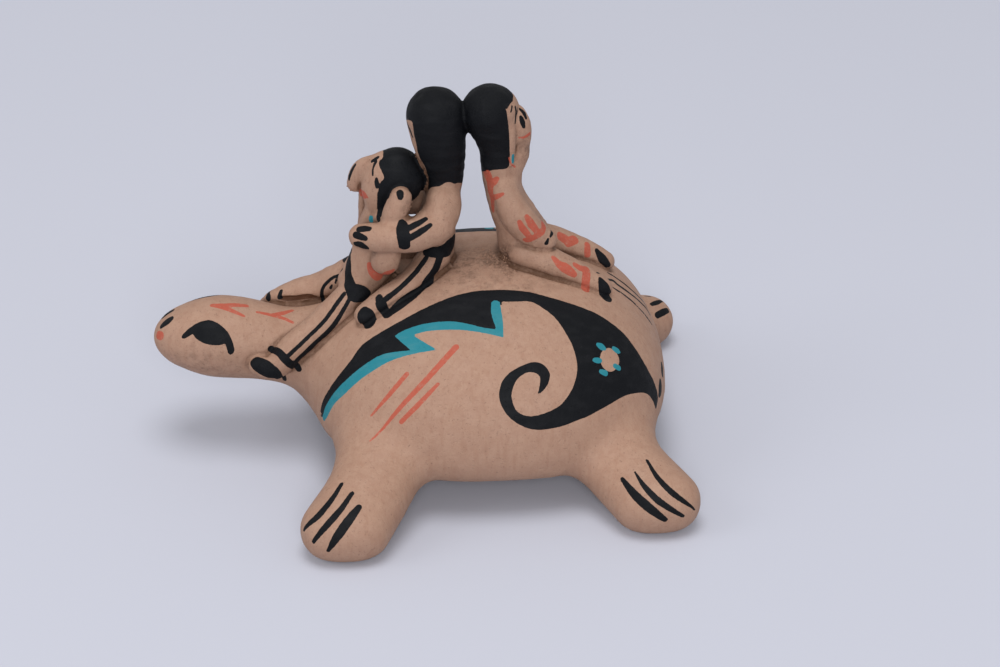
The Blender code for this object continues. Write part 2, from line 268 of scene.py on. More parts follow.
# Brush strokes where the photograph shows them: stations (across, down, width) in its pixels
BLACK_ON_TURTLE = {
    "nostril": ((162, 326, 4.5), (167, 322, 6), (171, 319, 4.5)),
    "far_nostril": ((163, 318, 2.5), (168, 314, 2.5)),
    "front_claw_1": ((341.5, 484, 4), (331, 500, 5.5), (318, 516, 6), (304, 530, 3)),
    "front_claw_2": ((352, 493, 4.5), (341, 509, 6), (328, 524, 6.5), (313.5, 542, 4)),
    "front_claw_3": ((359, 507, 6), (349, 520, 9), (337, 537, 8.5), (328, 551, 3.5)),
    "hind_claw_1": ((622, 479, 4.5), (635, 495, 8.5), (650, 508.5, 9), (665, 519.5, 5.5)),
    "hind_claw_2": ((635, 472, 2.2), (645, 487, 5.5), (660, 502, 6.7), (683, 516, 3.8)),
    "hind_claw_3": ((647, 460, 3), (658, 478, 5), (675, 495, 6), (695, 510, 2.2)),
    "far_hind_claw_1": ((645, 296, 2), (648.5, 296.3, 2.5), (651, 297, 1.5)),
    "far_hind_claw_2": ((651.5, 304.5, 3), (657, 302.5, 4), (661.5, 301, 3)),
    "far_hind_claw_3": ((657, 315.5, 4.5), (662, 312.7, 5), (667.5, 310.3, 4)),
    "hairline_1": (
        (597, 273, 2.6), (610, 280, 3.2), (618, 285, 3.2), (626, 290.5, 3), (633, 295.7, 3),
        (640, 301.5, 3), (646, 308, 2.6), (650, 314.5, 2.4),
    ),
    "hairline_2": (
        (608, 273, 2), (618, 279, 2.4), (627, 285.6, 2.6), (637, 294.6, 2.6), (643, 301, 2.4),
        (647, 307, 2.2),
    ),
    "hairline_3": (
        (612.3, 287.7, 2), (622, 293.5, 2.4), (631, 300.3, 2.6), (640, 309, 2.4), (648, 318.5, 2.4),
        (652, 324.5, 2),
    ),
    "rear_mark_1": ((662, 366, 6), (662.3, 373, 6)),
    "rear_mark_2": ((660.3, 383, 6), (660.3, 388.5, 8), (659.5, 394, 5)),
}
BLACK_ON_FRONT_CHILD = {
    "front_stripe_high": ((344, 294, 4.2), (325, 320, 4.2), (305, 340, 4.2), (287, 357, 4.5)),
    "front_stripe_low": ((349, 300, 4.2), (341, 314, 4.5), (329, 331, 5), (313, 346, 5), (293, 365, 4.5)),
    "front_trouser_cuff": ((271, 349, 7), (279, 352.5, 8), (289, 363, 8.5), (298, 368.5, 7)),
    "front_shoe": (
        (256.5, 362.5, 14), (263, 367.5, 17.5), (271.5, 373, 14.5), (279, 377.5, 8.5),
        (284.5, 380.5, 4),
    ),
    "front_belt": (
        (350, 248, 6), (348, 262, 9), (348, 278, 11), (353, 291, 12), (362, 294, 11), (369, 293, 4),
    ),
    "front_pocket": ((342, 269, 2.5), (331, 279, 3.5), (323, 288, 3.5), (322, 299, 5)),
    "front_button_1": ((337.5, 279, 2), (335.5, 283, 2)),
    "front_button_2": ((332, 285, 1.5), (330.5, 288, 3)),
    "front_far_shoe": ((281, 291, 4), (279.5, 297, 5)),
    "front_far_nail": ((355, 165, 2.5), (351, 172, 3), (349, 179, 2.5)),
    "front_fringe_1": ((378, 157.5, 3), (372, 161.5, 3)),
    "front_fringe_2": ((376, 162, 3), (373.5, 168, 2), (373, 175, 2)),
    "front_eye": ((376.7, 179, 3), (376.8, 183, 5), (377, 187, 3.5)),
    "front_side_lock": ((383, 195, 12), (381.5, 205, 8.5), (380, 213, 6), (378.3, 220, 3.5)),
    "front_nail": ((400, 193, 7.5), (400.5, 197, 6)),
}
BLACK_ON_MIDDLE_CHILD = {
    "middle_finger_1": ((359.5, 229, 6), (364, 228.5, 6.5), (369, 228.5, 5)),
    "middle_finger_2": ((355.5, 235, 7), (360, 236.5, 7), (365.5, 238.5, 5)),
    "middle_finger_3": ((356, 243.7, 4), (361, 245.5, 6), (366, 247.5, 4.5)),
    "middle_cuff": ((402.3, 223.5, 9), (402.5, 229, 12.5), (403.5, 238, 12.5), (404.5, 245.5, 11.5)),
    "middle_sleeve_stripe_1": ((410, 228, 6), (418, 223.5, 6), (425.5, 219, 4.5)),
    "middle_sleeve_stripe_2": ((410, 238, 6.5), (421, 231.5, 6.5), (430.5, 225, 4.5)),
    "middle_belt": (
        (427.5, 251, 10), (433, 252, 11), (440, 252, 12), (447, 249.5, 13), (451.5, 243.5, 10),
        (453.5, 239, 7),
    ),
    "middle_stripe_in": ((426, 258, 5), (415, 273, 5), (401, 287, 5), (386, 299, 6)),
    "middle_stripe_out": ((440, 257, 7), (434, 273, 6.8), (420, 290, 7.2), (403, 303, 8), (388, 314, 7)),
    "middle_trouser_cuff": ((379, 298, 8), (382.5, 306, 10), (386.5, 315.5, 7)),
    "middle_cuff_tab": ((376.5, 303.5, 3), (380, 308, 6), (385, 314, 7)),
    "middle_shoe": ((364.5, 312.5, 12), (366, 317.5, 19), (367.5, 320.5, 17)),
    "middle_eye": ((407, 123, 2.5), (409.5, 130, 3), (412, 137, 2)),
}
BLACK_ON_REAR_CHILD = {
    "rear_fringe_1": ((509, 103, 3), (506.5, 108, 2)),
    "rear_fringe_2": ((512, 106, 1.5), (511, 112, 1.2)),
    "rear_fringe_3": ((515, 107, 2), (516, 115, 2), (515, 124, 1.5)),
    "rear_fringe_4": ((518, 108, 1.5), (517, 114, 1.2)),
    "rear_brow": ((520, 109, 2.5), (524, 113, 3.5), (526, 118, 2.5)),
    "rear_eye": ((520.7, 117, 3.5), (522.5, 122, 5.5), (524, 127, 3.5)),
    "rear_finger_1": ((551.5, 232, 4), (550.5, 236, 3)),
    "rear_finger_2": ((548, 239.5, 2.5), (546.5, 243, 4)),
    "rear_near_shoe": ((600.5, 280, 5), (604.5, 289, 12), (606, 295.5, 12), (606, 299, 7)),
    "rear_far_shoe": ((597, 251, 4), (602, 258, 7), (607.5, 265, 6)),
}
RED_ON_TURTLE = {
    "nose": ((158.5, 335, 9), (161, 336, 9)),
    "head_mark_high": ((212, 305.5, 3), (222, 305.5, 4), (235, 305, 4), (247, 306, 3)),
    "head_mark_low": ((214, 306, 3), (225, 308, 4.5), (235, 312, 3.5), (244, 316, 2.5)),
    "neck_mark_stem": ((257, 312, 2.2), (272, 315, 3.2)),
    "neck_mark_high": ((272, 315, 3.5), (283, 313, 4.5), (292, 310.5, 3.2)),
    "neck_mark_low": ((272, 315, 3.2), (283, 318, 3.2), (293, 322.5, 2.8)),
    "flank_mark_1": ((407, 374, 4.5), (389, 395, 4.5), (371, 416, 2)),
    "flank_mark_2": ((456, 347, 6), (428, 378, 5.5), (399, 409, 4.5), (370, 441, 1.6)),
    "flank_mark_3": ((438, 384, 3.5), (419, 404, 5), (401, 422, 4.8)),
}
RED_ON_CHILDREN = {
    "front_mouth": ((361.5, 194, 6), (364, 194.5, 6), (368, 197.5, 2)),
    "front_sleeve_edge": ((369, 264, 4), (371, 271.5, 6), (378, 276, 9), (386, 274.5, 7), (393, 270.5, 3)),
    "rear_mouth": ((519, 138, 2), (524, 137.5, 2.5), (530, 133.5, 3)),
    "rear_earring_drop": ((509, 158, 1.5), (511, 164, 2), (515, 167, 1.5)),
    "rear_back_stem": ((488.5, 173, 6), (489.5, 185, 7), (491.5, 198, 6), (492.5, 211, 4)),
    "rear_back_leaf_1": ((490, 186, 6), (494, 182, 7), (497, 178.5, 5)),
    "rear_back_leaf_2": ((492, 198, 6), (497, 196.5, 5.5), (503, 194, 3)),
    "rear_back_leaf_3": ((485, 174, 4), (488, 180, 5)),
    "rear_tulip_cup": ((543, 222, 4.5), (543.5, 229, 6), (537.5, 235.5, 6), (526, 240, 5)),
    "rear_tulip_leaf_1": ((519.5, 222, 5), (523, 229, 7), (529, 236, 6)),
    "rear_tulip_leaf_2": ((527, 217, 5.5), (531.5, 224, 8), (537, 231, 6.5)),
    "rear_knee_dot_1": ((560.5, 236, 6), (565, 238.5, 6.5)),
    "rear_knee_dot_2": ((568.5, 242, 6.5), (574.5, 239.5, 6.5)),
    "rear_far_cuff": ((587, 245, 7), (587.2, 250, 7.5), (587.5, 254.5, 7)),
    "rear_knee_mark_1": ((553, 257.5, 4), (559, 264, 7), (566, 268.5, 10), (574, 274.5, 6.5)),
    "rear_knee_mark_2": ((574.5, 264.5, 4), (580, 268, 5.5), (586, 269, 6)),
    "rear_near_cuff": ((586.5, 270, 8.5), (586, 280, 8.5), (585.5, 289, 8.5)),
}
TURQUOISE_STROKES = {
    "front_earring": ((371.5, 217.5, 4.5), (371.2, 220.5, 4.5)),
    "rear_earring": ((513.5, 156, 4), (513.5, 162, 4)),
    "motif_head": ((598, 344.5, 4), (601.5, 346.5, 6.5), (604.5, 348.5, 4)),
    "motif_foot_1": ((614, 348.5, 4.5), (617, 350.5, 5.5), (619.5, 352, 3)),
    "motif_foot_2": ((594, 360, 4), (597.5, 360.3, 6.5), (600.5, 360.5, 5)),
    "motif_foot_3": ((601.5, 371.5, 5.5), (605.5, 373, 6.5)),
    "motif_foot_4": ((615.5, 366, 5.5), (619, 368, 5.5)),
}
# The split in the clay beside the front child's far leg, as such a stroke; it is pressed in, and painted dark
# brown as shade inside it
FRONT_CRACK = (
    (281.5, 298.5, 3), (289, 299, 5), (297, 299, 5.5), (304, 297.5, 5), (311, 297.5, 6),
    (318.5, 299, 4),
)
# In millimetres: how deep the split and the creases are pressed, the height of the joined heads, which have
# no crease, and how far from the children the creases get grime and painted shade and the hollows painted
# shade
CRACK_DEPTH = 0.7
CREASE_DEPTH = 0.35
JOINED_HEADS_HEIGHT = 91.0
SHELTER = 5.5
# Widths in metres: a crease between rolls of clay, and a hollow that is darkened with painted shade
CREASE_REACH = 0.0008
HOLLOW_REACH = 0.0050
# Sizes in metres of the dents and bumps that the hand leaves, of grit, and of ripples on the children
BROAD_DENT, SMALL_DENT = 0.013, 0.0055
COARSE_GRIT, FINE_GRIT = 0.0013, 0.0007
SMALL_RIPPLE, BROAD_RIPPLE = 0.0021, 0.0040
# In metres: the height over which the relief fades towards a flat sole, and creases fade below the heads
SOLE_FADE = 0.0015
HEADS_FADE = 0.003
# In metres along the turtle: the head lies before this place and the painted flanks behind it
HEAD_END = -0.045
# In millimetres: how far from its child's clay hair is looked for
HAIR_REACH = 1.5

# Of each paint, in millimetres: how soft its edge is, and how far it spreads past its strokes
BRUSHES = {"black": (0.04, -0.03), "red": (0.07, -0.04), "turquoise": (0.04, -0.09)}

# Strokes that are repeated on the side that the photograph doesn't show, by name and by the start of the name
MIRRORED = (
    "nostril", "nose", "front_belt", "front_eye", "front_side_lock", "rear_brow", "rear_eye", "rear_mouth",
    "rear_back_stem", "rear_earring",
)  # fmt: skip
MIRRORED_GROUPS = ("middle_", "flank_mark_", "motif_")
# Mirrored strokes on feet and legs that don't lie opposite their fellows: the shift in millimetres
FOOT_SHIFT = (3.6, -6.8, 0.0)
LEG_SHIFT = (1.0, -0.3, 3.7)
MIRRORED_WITH_SHIFT = {
    **dict.fromkeys(("front_claw_1", "front_claw_2", "front_claw_3"), FOOT_SHIFT),
    **dict.fromkeys(("front_stripe_high", "front_stripe_low", "front_trouser_cuff", "front_shoe"), LEG_SHIFT),
}
# How much lower the far flank's paint lies, and how much higher the far eye, in millimetres
FAR_FLANK_DROP = 0.5
FAR_EYE_RISE = 2.7

# Where the clay was left rough: x, y, z and radius in millimetres, and how rough
CRUMBLY_PLACES = (
    (20.5, -4.0, 56.5, 4.5, 1.0),
    (22.5, -8.5, 53.5, 3.5, 0.7),
    (17.5, -1.0, 57.0, 3.5, 0.8),
    (-19.0, 4.6, 75.6, 2.4, 1.0),
    (-4.4, -9.5, 76.0, 2.6, 0.5),
    (-15.0, -1.0, 84.5, 3.0, 0.35),
)
# Brown patches, partly smudges left by handling and partly painted shade, as on the shell between the
# children, on the rear child's face and on the side of the turtle's head: x, y, z and radius in millimetres,
# and how brown
SMUDGES_AND_SHADE = (
    (8.0, -14.0, 53.0, 9.0, 0.50),
    (16.0, -11.0, 54.0, 9.0, 0.55),
    (21.0, -6.0, 56.0, 7.0, 0.75),
    (12.0, -4.0, 55.5, 10.0, 0.75),
    (10.0, -16.0, 52.0, 15.0, 0.30),
    (24.0, -12.0, 53.5, 9.0, 0.45),
    (34.0, -9.0, 54.0, 8.0, 0.35),
    (26.0, -5.0, 61.0, 5.0, 0.35),
    (5.0, -6.0, 72.0, 6.0, 0.30),
    (-6.0, -9.0, 73.0, 4.0, 0.3),
    (28.0, -2.5, 90.0, 6.0, 0.7),
    (-60.0, -11.0, 28.0, 14.0, 0.38),
)


def metres(name, description, default):
    """A length; the functions after it give powers, angles, plain numbers and colours in the same way."""
    return bpy.props.FloatProperty(name=name, description=description, default=default, unit="LENGTH")


def watts(name, description, default):
    return bpy.props.FloatProperty(name=name, description=description, default=default, unit="POWER")


def angle(name, description, degrees):
    default = math.radians(degrees)
    return bpy.props.FloatProperty(name=name, description=description, default=default, subtype="ANGLE")


def amount(name, description, default, low, high=1e9):
    return bpy.props.FloatProperty(name=name, description=description, default=default, min=low, max=high)


def tone(name, description, default):
    return bpy.props.FloatVectorProperty(
        name=name, description=description, default=default, subtype="COLOR", size=3
    )


class FigureSizes(bpy.types.PropertyGroup):
    """The main sizes of the turtle."""

    length: metres("Length", "From the nose to the hind toes", 0.148)
    shell_length: metres("Shell length", "Along the back, at its widest level", 0.098)
    shell_width: metres("Shell width", "Across the back, at its widest level", 0.093)
    shell_rise: metres("Shell rise", "From the widest level to the top", 0.0379)
    shell_squareness: amount("Shell squareness", "2 is an oval, more is squarer", 2.45, 2.0, 4.0)
    belly_height: metres("Belly height", "From the floor to the flat belly", 0.008)
    head_length: metres("Head length", "The turtle's head", 0.036)
    head_width: metres("Head width", "The turtle's head", 0.0236)
    head_depth: metres("Head depth", "Crown to chin of the turtle's head", 0.020)
    neck_radius: metres("Neck radius", "At its thinnest", 0.010)
    toe_radius: metres("Toe radius", "Roundness of each foot's end", 0.0082)
    unevenness: metres("Unevenness", "How far the hand-smoothed clay rises and dips", 0.00018)
    roughness: metres("Rough places", "How far the crumbly clay stands up", 0.00036)
    crumb_density: amount("Crumb density", "Crumbs on a square metre of the roughest clay", 1.6e6, 0.0)
    crumb_size: metres("Crumb size", "Radius of the largest crumbs", 0.00034)


class PaintColours(bpy.types.PropertyGroup):
    """The clay and its paints."""

    clay: tone("Clay", "Buff slip", (0.333, 0.195, 0.135))
    clay_pale: tone("Pale clay", "Where the slip is thick", (0.361, 0.219, 0.153))
    clay_warm: tone("Warm clay", "Where the slip is thin", (0.282, 0.149, 0.097))
    # Earth brown serves the specks, smudges, rough places and crumbs, and also the painted shade in hollows
    # near the children and in part of the smudges
    earth: tone("Earth", "Smudges and dirt in hollows", (0.075, 0.036, 0.021))
    # The crease colour is partly grime in the joins and partly painted shade that deepens the creases near
    # the children
    crease: tone("Crease", "Grime in the joins", (0.105, 0.046, 0.022))
    # Painted shade: the dark brown that stands for the shadow inside the split clay
    crack: tone("Crack", "Deep inside the split clay", (0.080, 0.028, 0.010))
    black: tone("Black", "Matt black paint", (0.0038, 0.0044, 0.0060))
    black_thin: tone("Thin black", "Where it was brushed thin", (0.0095, 0.0100, 0.0120))
    turquoise: tone("Turquoise", "Turquoise paint", (0.020, 0.183, 0.228))
    turquoise_thin: tone("Thin turquoise", "Where it was brushed thin", (0.055, 0.205, 0.235))
    red: tone("Red", "Red-orange paint", (0.385, 0.070, 0.038))
    brush_edge: amount("Brush edge", "How far a painted edge wavers, in millimetres", 0.07, 0.0)


class StageValues(bpy.types.PropertyGroup):
    """Floor, light and camera."""

    floor_width: metres("Floor width", "Side of the square floor", 6.0)
    floor_colour: tone("Floor", "Pale paper", (0.500, 0.512, 0.588))
    floor_shade: tone("Floor shade", "Its faint clouds", (0.494, 0.506, 0.580))
    top_light: watts("Top light", "Large soft light", 23.5)
    side_light: watts("Side light", "Soft light from the left", 3.0)
    front_light: watts("Front light", "Soft light behind the camera", 13.5)
    surround: amount("Surround", "Strength of the even light", 0.53, 0.0)
    surround_colour: tone("Surround colour", "The even light", (1.0, 1.0, 1.0))
    camera_elevation: angle("Camera elevation", "Above the floor", 31)
    camera_azimuth: angle("Camera azimuth", "Round from the near side", -2.5)
    camera_distance: metres("Camera distance", "To the figure", 0.803)
    focal_length: amount("Focal length", "On a 36 mm wide sensor, in millimetres", 105.01, 1.0)
    shift: bpy.props.FloatVectorProperty(
        name="Shift",
        description="From the turtle's middle to the frame's origin",
        subtype="TRANSLATION",
        size=3,
    )


def curve_through(rows, splits):
    """Stations on a smooth curve through the given ones."""
    rows = np.asarray(rows, float)
    if len(rows) < 3:
        steps = np.linspace(0, 1, splits + 1)[:, None]
        return rows[:1] + (rows[-1:] - rows[:1]) * steps
    padded = np.vstack([2 * rows[0] - rows[1], rows, 2 * rows[-1] - rows[-2]])
    path = []
    for before, start, end, after in zip(padded, padded[1:], padded[2:], padded[3:]):
        for t in np.arange(splits) / splits:
            path.append(
                0.5
                * (
                    2 * start
                    + (end - before) * t
                    + (2 * before - 5 * start + 4 * end - after) * t**2
                    + (3 * start - before - 3 * end + after) * t**3
                )
            )
    return np.array([*path, rows[-1]])


def distance_to_path(points, path):
    """From the surface of a tapering tube along the path, whose last column is the radius."""
    nearest = np.full(len(points), np.inf)
    for start, end in zip(path, path[1:]):
        along = end[:-1] - start[:-1]
        offset = points - start[:-1]
        t = np.clip(offset @ along / max(along @ along, 1e-12), 0, 1)
        gap = np.linalg.norm(offset - t[:, None] * along, axis=1)
        nearest = np.minimum(nearest, gap - start[-1] - t * (end[-1] - start[-1]))
    return nearest


class Lump:
    """One ball or roll of clay: how far a point is from its surface, and the balls that rough it out."""

    def __init__(self, blend):
        self.blend = blend

    def reach(self):
        low = np.min([centre - radius for centre, radius in self.balls()], axis=0)
        high = np.max([centre + radius for centre, radius in self.balls()], axis=0)
        margin = self.blend + REACH_MARGIN
        return low - margin, high + margin


class Ball(Lump):
    """An ellipsoid of clay."""

    def __init__(self, centre, half, blend):
        super().__init__(blend)
        self.centre = np.array(centre, float)
        self.half = np.array(half, float)

    def distance(self, points):
        local = points - self.centre
        near = np.linalg.norm(local / self.half, axis=1)
        slope = np.linalg.norm(local / self.half**2, axis=1)
        return near * (near - 1) / np.maximum(slope, 1e-9)

    def balls(self):
        return [(self.centre, np.full(3, self.half.max()))]

    def shape(self):
        return [(self.centre, self.half)]


class Shell(Ball):
    """A dome on a slightly squared oval, with steeper sides below its widest level than above it."""

    DEPTH = 0.050

    def __init__(self, values):
        half = (values.shell_length / 2, values.shell_width / 2, values.shell_rise)
        super().__init__((0.0172, 0.0, 0.018), half, 0.0)
        self.squareness = values.shell_squareness

    def oval(self, across):
        return ((across[:, :2] / self.half[:2]) ** self.squareness).sum(1) ** (2 / self.squareness)

    def distance(self, points):
        local = np.abs(points - self.centre)
        low = points[:, 2] < self.centre[2]
        height = np.where(low, local[:, 2] / self.DEPTH, local[:, 2] / self.half[2])
        size = np.sqrt(self.oval(local) + height**2)
        outward = np.linalg.norm(points - self.centre, axis=1)
        return (size - 1) * outward / np.maximum(size, 1e-9)

    def top(self, x, y, lift):
        """A station on the shell above (x, y), raised by lift, all in millimetres."""
        local = np.abs(np.array([[x * MM, y * MM, 0.0]]) - self.centre * (1, 1, 0))
        rise = self.half[2] * math.sqrt(max(0.0, 1 - self.oval(local)[0]))
        return x, y, (self.centre[2] + rise) / MM + lift

    def shape(self):
        return [(self.centre, self.half * 1.02)]


class Roll(Lump):
    """A roll of clay through stations (x, y, z, radius) in millimetres, with the ends rounded."""

    def __init__(self, stations, blend):
        super().__init__(blend * MM)
        rows = np.array(stations, float) * MM
        self.path = rows if len(rows) < 3 else curve_through(rows, 3)

    def distance(self, points):
        return distance_to_path(points, self.path)

    def balls(self):
        return [(row[:3], row[3]) for row in self.path]

    def shape(self):
        found = []
        for start, end in zip(self.path, self.path[1:]):
            length = np.linalg.norm(end[:3] - start[:3])
            count = max(1, math.ceil(length / (0.35 * min(start[3], end[3]))))
            for step in range(count + 1):
                row = start + (end - start) * step / count
                found.append((row[:3], np.full(3, row[3])))
        return found


def turtle_lumps(values):
    """Shell, neck, head and legs by name."""
    shell = Shell(values)
    head_half = np.array([values.head_length, values.head_width, values.head_depth]) / 2
    head_x = -values.length / 2 + head_half[0]
    neck = values.neck_radius / MM
    lumps = {
        "shell": shell,
        "neck": Roll(
            (
                (head_x / MM, 0, 31.4, neck),
                (-44.0, 0, 29.3, neck * 1.03),
                (-31.0, 0, 27.7, neck * 1.10),
                (-14.0, 0, 26.5, neck * 1.3),
            ),
            NECK,
        ),
        "head": Ball((head_x, 0, 0.0319), head_half, CHIN * MM),
    }
    toe_radius = values.toe_radius / MM
    feet = {
        "front_near_foot": ((-12.0, -33.0, 15.0), (-22.1, -58.8, 7.2), 1.8),
        "front_far_foot": ((-12.0, 32.0, 15.0), (-18.5, 52.0, 7.2), 1.8),
        "hind_near_foot": ((48.0, -27.0, 14.0), (60.0, -49.4, 7.2), -1.8),
        "hind_far_foot": ((48.0, 27.0, 14.0), (62.2, 44.8, 7.2), -1.8),
    }
    for name, (hip, toe, bend) in feet.items():
        slim = 0.9 if name == "hind_far_foot" else 1.0
        hip, toe = np.array(hip) * (1, 1, slim), np.array(toe) * (1, 1, slim)
        ankle = (hip + toe) / 2 + (bend, 0, 0.4)
        for side in (-1, 1):
            stations = (
                (*(hip + (side * 2.5, 0, 0)), 9.6),
                (*(ankle + (side * 3.2, 0, 0)), 8.4 * slim),
                (*(toe + (side * 3.8, 0, 0)), toe_radius * slim),
            )
            lumps[f"{name}_{'left' if side < 0 else 'right'}"] = Roll(stations, LEG)
    return lumps


def children_lumps(shell):
    """The three children by name, in the order in which they are pressed on."""
    lumps = {name: Roll(stations, blend) for name, (blend, stations) in FRONT_CHILD.items()}
    lumps["front_head"] = Ball(*FRONT_HEAD, CHILD * MM)
    lumps["front_face"] = Ball(*FRONT_FACE, CHILD * MM)
    lumps["middle_body"] = Roll(MIDDLE_BODY, SEAT)
    for side, word in ((-1, "near"), (1, "far")):
        flip = (1, side, 1, 1)
        arm = MIDDLE_ARM if side < 0 else MIDDLE_ARM[:-1]
        lumps[f"middle_{word}_arm"] = Roll(np.array(arm) * flip, CHILD)
        lumps[f"middle_{word}_sleeve"] = Roll(np.array(MIDDLE_SLEEVE) * flip, SLEEVE)
        lumps[f"middle_{word}_leg"] = Roll(
            (
                (3.0, side * 4.0, 57.5, 4.3),
                (*shell.top(-3.0, side * 9.2, 1.0), 3.6),
                (*shell.top(-11.0, side * 12.2, 0.8), 3.2),
                (*shell.top(-16.0, side * 13.8, 0.8), 3.0),
            ),
            SEAT,
        )
    lumps["rear_body"] = Roll(REAR_BODY, SEAT)
    lumps["rear_face"] = Ball(*REAR_FACE, FACE * MM)
    lumps["rear_chin"] = Roll(REAR_CHIN, CHILD)
    for side, word in ((-1, "near"), (1, "far")):
        lumps[f"rear_{word}_hair_edge"] = Roll(np.array(REAR_HAIR_RIDGE) * (1, side, 1, 1), RIDGE)
    for side, tuck, word in ((-4.2, 0.0, "near"), (3.0, 1.8, "far")):
        stations = [(x - tuck, side * y, z, radius) for x, y, z, radius in REAR_ARM]
        lumps[f"rear_{word}_arm"] = Roll(stations, CHILD)
    radii = (4.6, 4.0, 3.5, 2.8)
    legs = {
        "rear_near_leg": ((27.0, -3.5, 58.0), (34.5, -5.8, 2.2), (42.0, -6.0, 1.0), (48.0, -6.0, 0.4)),
        "rear_far_leg": ((28.0, 5.0, 58.5), (35.0, 8.0, 2.2), (43.0, 9.6, 1.3), (50.0, 10.4, 1.2)),
    }
    for name, (hip, *rest) in legs.items():
        points = [hip] + [shell.top(*point) for point in rest]
        lumps[name] = Roll([(*point, radius) for point, radius in zip(points, radii)], SEAT)
    return lumps


def rounded_union(first, second, blend):
    """The smaller distance, with the corner between the two filled by a fillet."""
    if blend <= 0:
        return np.minimum(first, second)
    overlap = np.maximum(blend - np.abs(first - second), 0) / blend
    return np.minimum(first, second) - overlap**2 * blend / 4


class Clay:
    """All lumps pressed together, cut flat under the belly and under the feet."""

    BELLY_ROUNDING = 0.011
    SOLE_ROUNDING = 0.0012

    def __init__(self, values):
        self.belly_height = values.belly_height
        self.lumps = turtle_lumps(values)
        self.lumps.update(children_lumps(self.lumps["shell"]))
        self.reaches = {name: lump.reach() for name, lump in self.lumps.items()}

    def near(self, name, points):
        low, high = self.reaches[name]
        return np.all((points > low) & (points < high), axis=1)

    def distance(self, points):
        belly = self.belly_height - points[:, 2]
        result = -rounded_union(-self.lumps["shell"].distance(points), -belly, self.BELLY_ROUNDING)
        for name, lump in self.lumps.items():
            inside = self.near(name, points)
            if name == "shell" or not inside.any():
                continue
            gap = lump.distance(points[inside])
            result[inside] = rounded_union(result[inside], gap, lump.blend)
        return -rounded_union(-result, points[:, 2], self.SOLE_ROUNDING)

    def slope(self, points, here):
        ahead = [self.distance(points + DIFFERENCE * axis) - here for axis in np.eye(3)]
        return np.stack(ahead, axis=1) / DIFFERENCE

    def settled(self, points, rounds=SETTLE_ROUNDS):
        """The points moved along the slope of the distance onto the surface."""
        for _ in range(rounds):
            here = self.distance(points)
            slope = self.slope(points, here)
            points = points - (here / np.maximum((slope**2).sum(1), 0.25))[:, None] * slope
        return points

    def outward(self, points):
        slope = self.slope(points, self.distance(points))
        return slope / np.maximum(np.linalg.norm(slope, axis=1), 1e-9)[:, None]

    def closest(self, points, names):
        """The distance to the closest of the named lumps, in millimetres."""
        result = np.full(len(points), FAR)
        for name in names:
            inside = self.near(name, points)
            if inside.any():
                gap = self.lumps[name].distance(points[inside]) / MM
                result[inside] = np.minimum(result[inside], gap)
        return result


def bumps(points, size, seed):
    """Smooth random heights from -1 to 1, with bumps about size across."""
    place = points / size + seed * 17.31
    cell = np.floor(place).astype(np.int64)
    t = place - cell
    t = t * t * (3 - 2 * t)
    total = np.zeros(len(points))
    for corner in itertools.product((0, 1), repeat=3):
        x, y, z = (cell + corner).T
        mixed = (x * 73856093) ^ (y * 19349663) ^ (z * 83492791)
        mixed = (mixed ^ (mixed >> 13)) * 1274126177
        height = ((mixed ^ (mixed >> 16)) & 0xFFFF) / 0x7FFF - 1
        total += height * np.prod(np.where(corner, t, 1 - t), axis=1)
    return total


def fading(points, places):
    """1 in the middle of each place, fading to 0 at its radius."""
    total = np.zeros(len(points))
    for x, y, z, radius, strength in places:
        gap = np.linalg.norm(points / MM - (x, y, z), axis=1) / radius
        total = np.maximum(total, strength * np.clip(1 - gap**2, 0, 1))
    return total


def outline(*chains):
    """A closed outline of smooth chains, with a corner where two chains meet."""
    return np.vstack([curve_through(chain, 4)[:-1] if len(chain) > 2 else chain[:1] for chain in chains])


def edge_of_outline(spots, corners):
    """The distance from a closed outline, negative inside it."""
    nearest = np.full(len(spots), np.inf)
    inside = np.zeros(len(spots), bool)
    for start, end in zip(corners, np.roll(corners, -1, axis=0)):
        along = end - start
        offset = spots - start
        t = np.clip(offset @ along / max(along @ along, 1e-12), 0, 1)
        nearest = np.minimum(nearest, np.linalg.norm(offset - t[:, None] * along, axis=1))
        crosses = (start[1] > spots[:, 1]) != (end[1] > spots[:, 1])
        if crosses.any():
            level = start[0] + (spots[:, 1] - start[1]) / (end[1] - start[1] + 1e-12) * along[0]
            inside ^= crosses & (spots[:, 0] < level)
    return np.where(inside, -nearest, nearest)


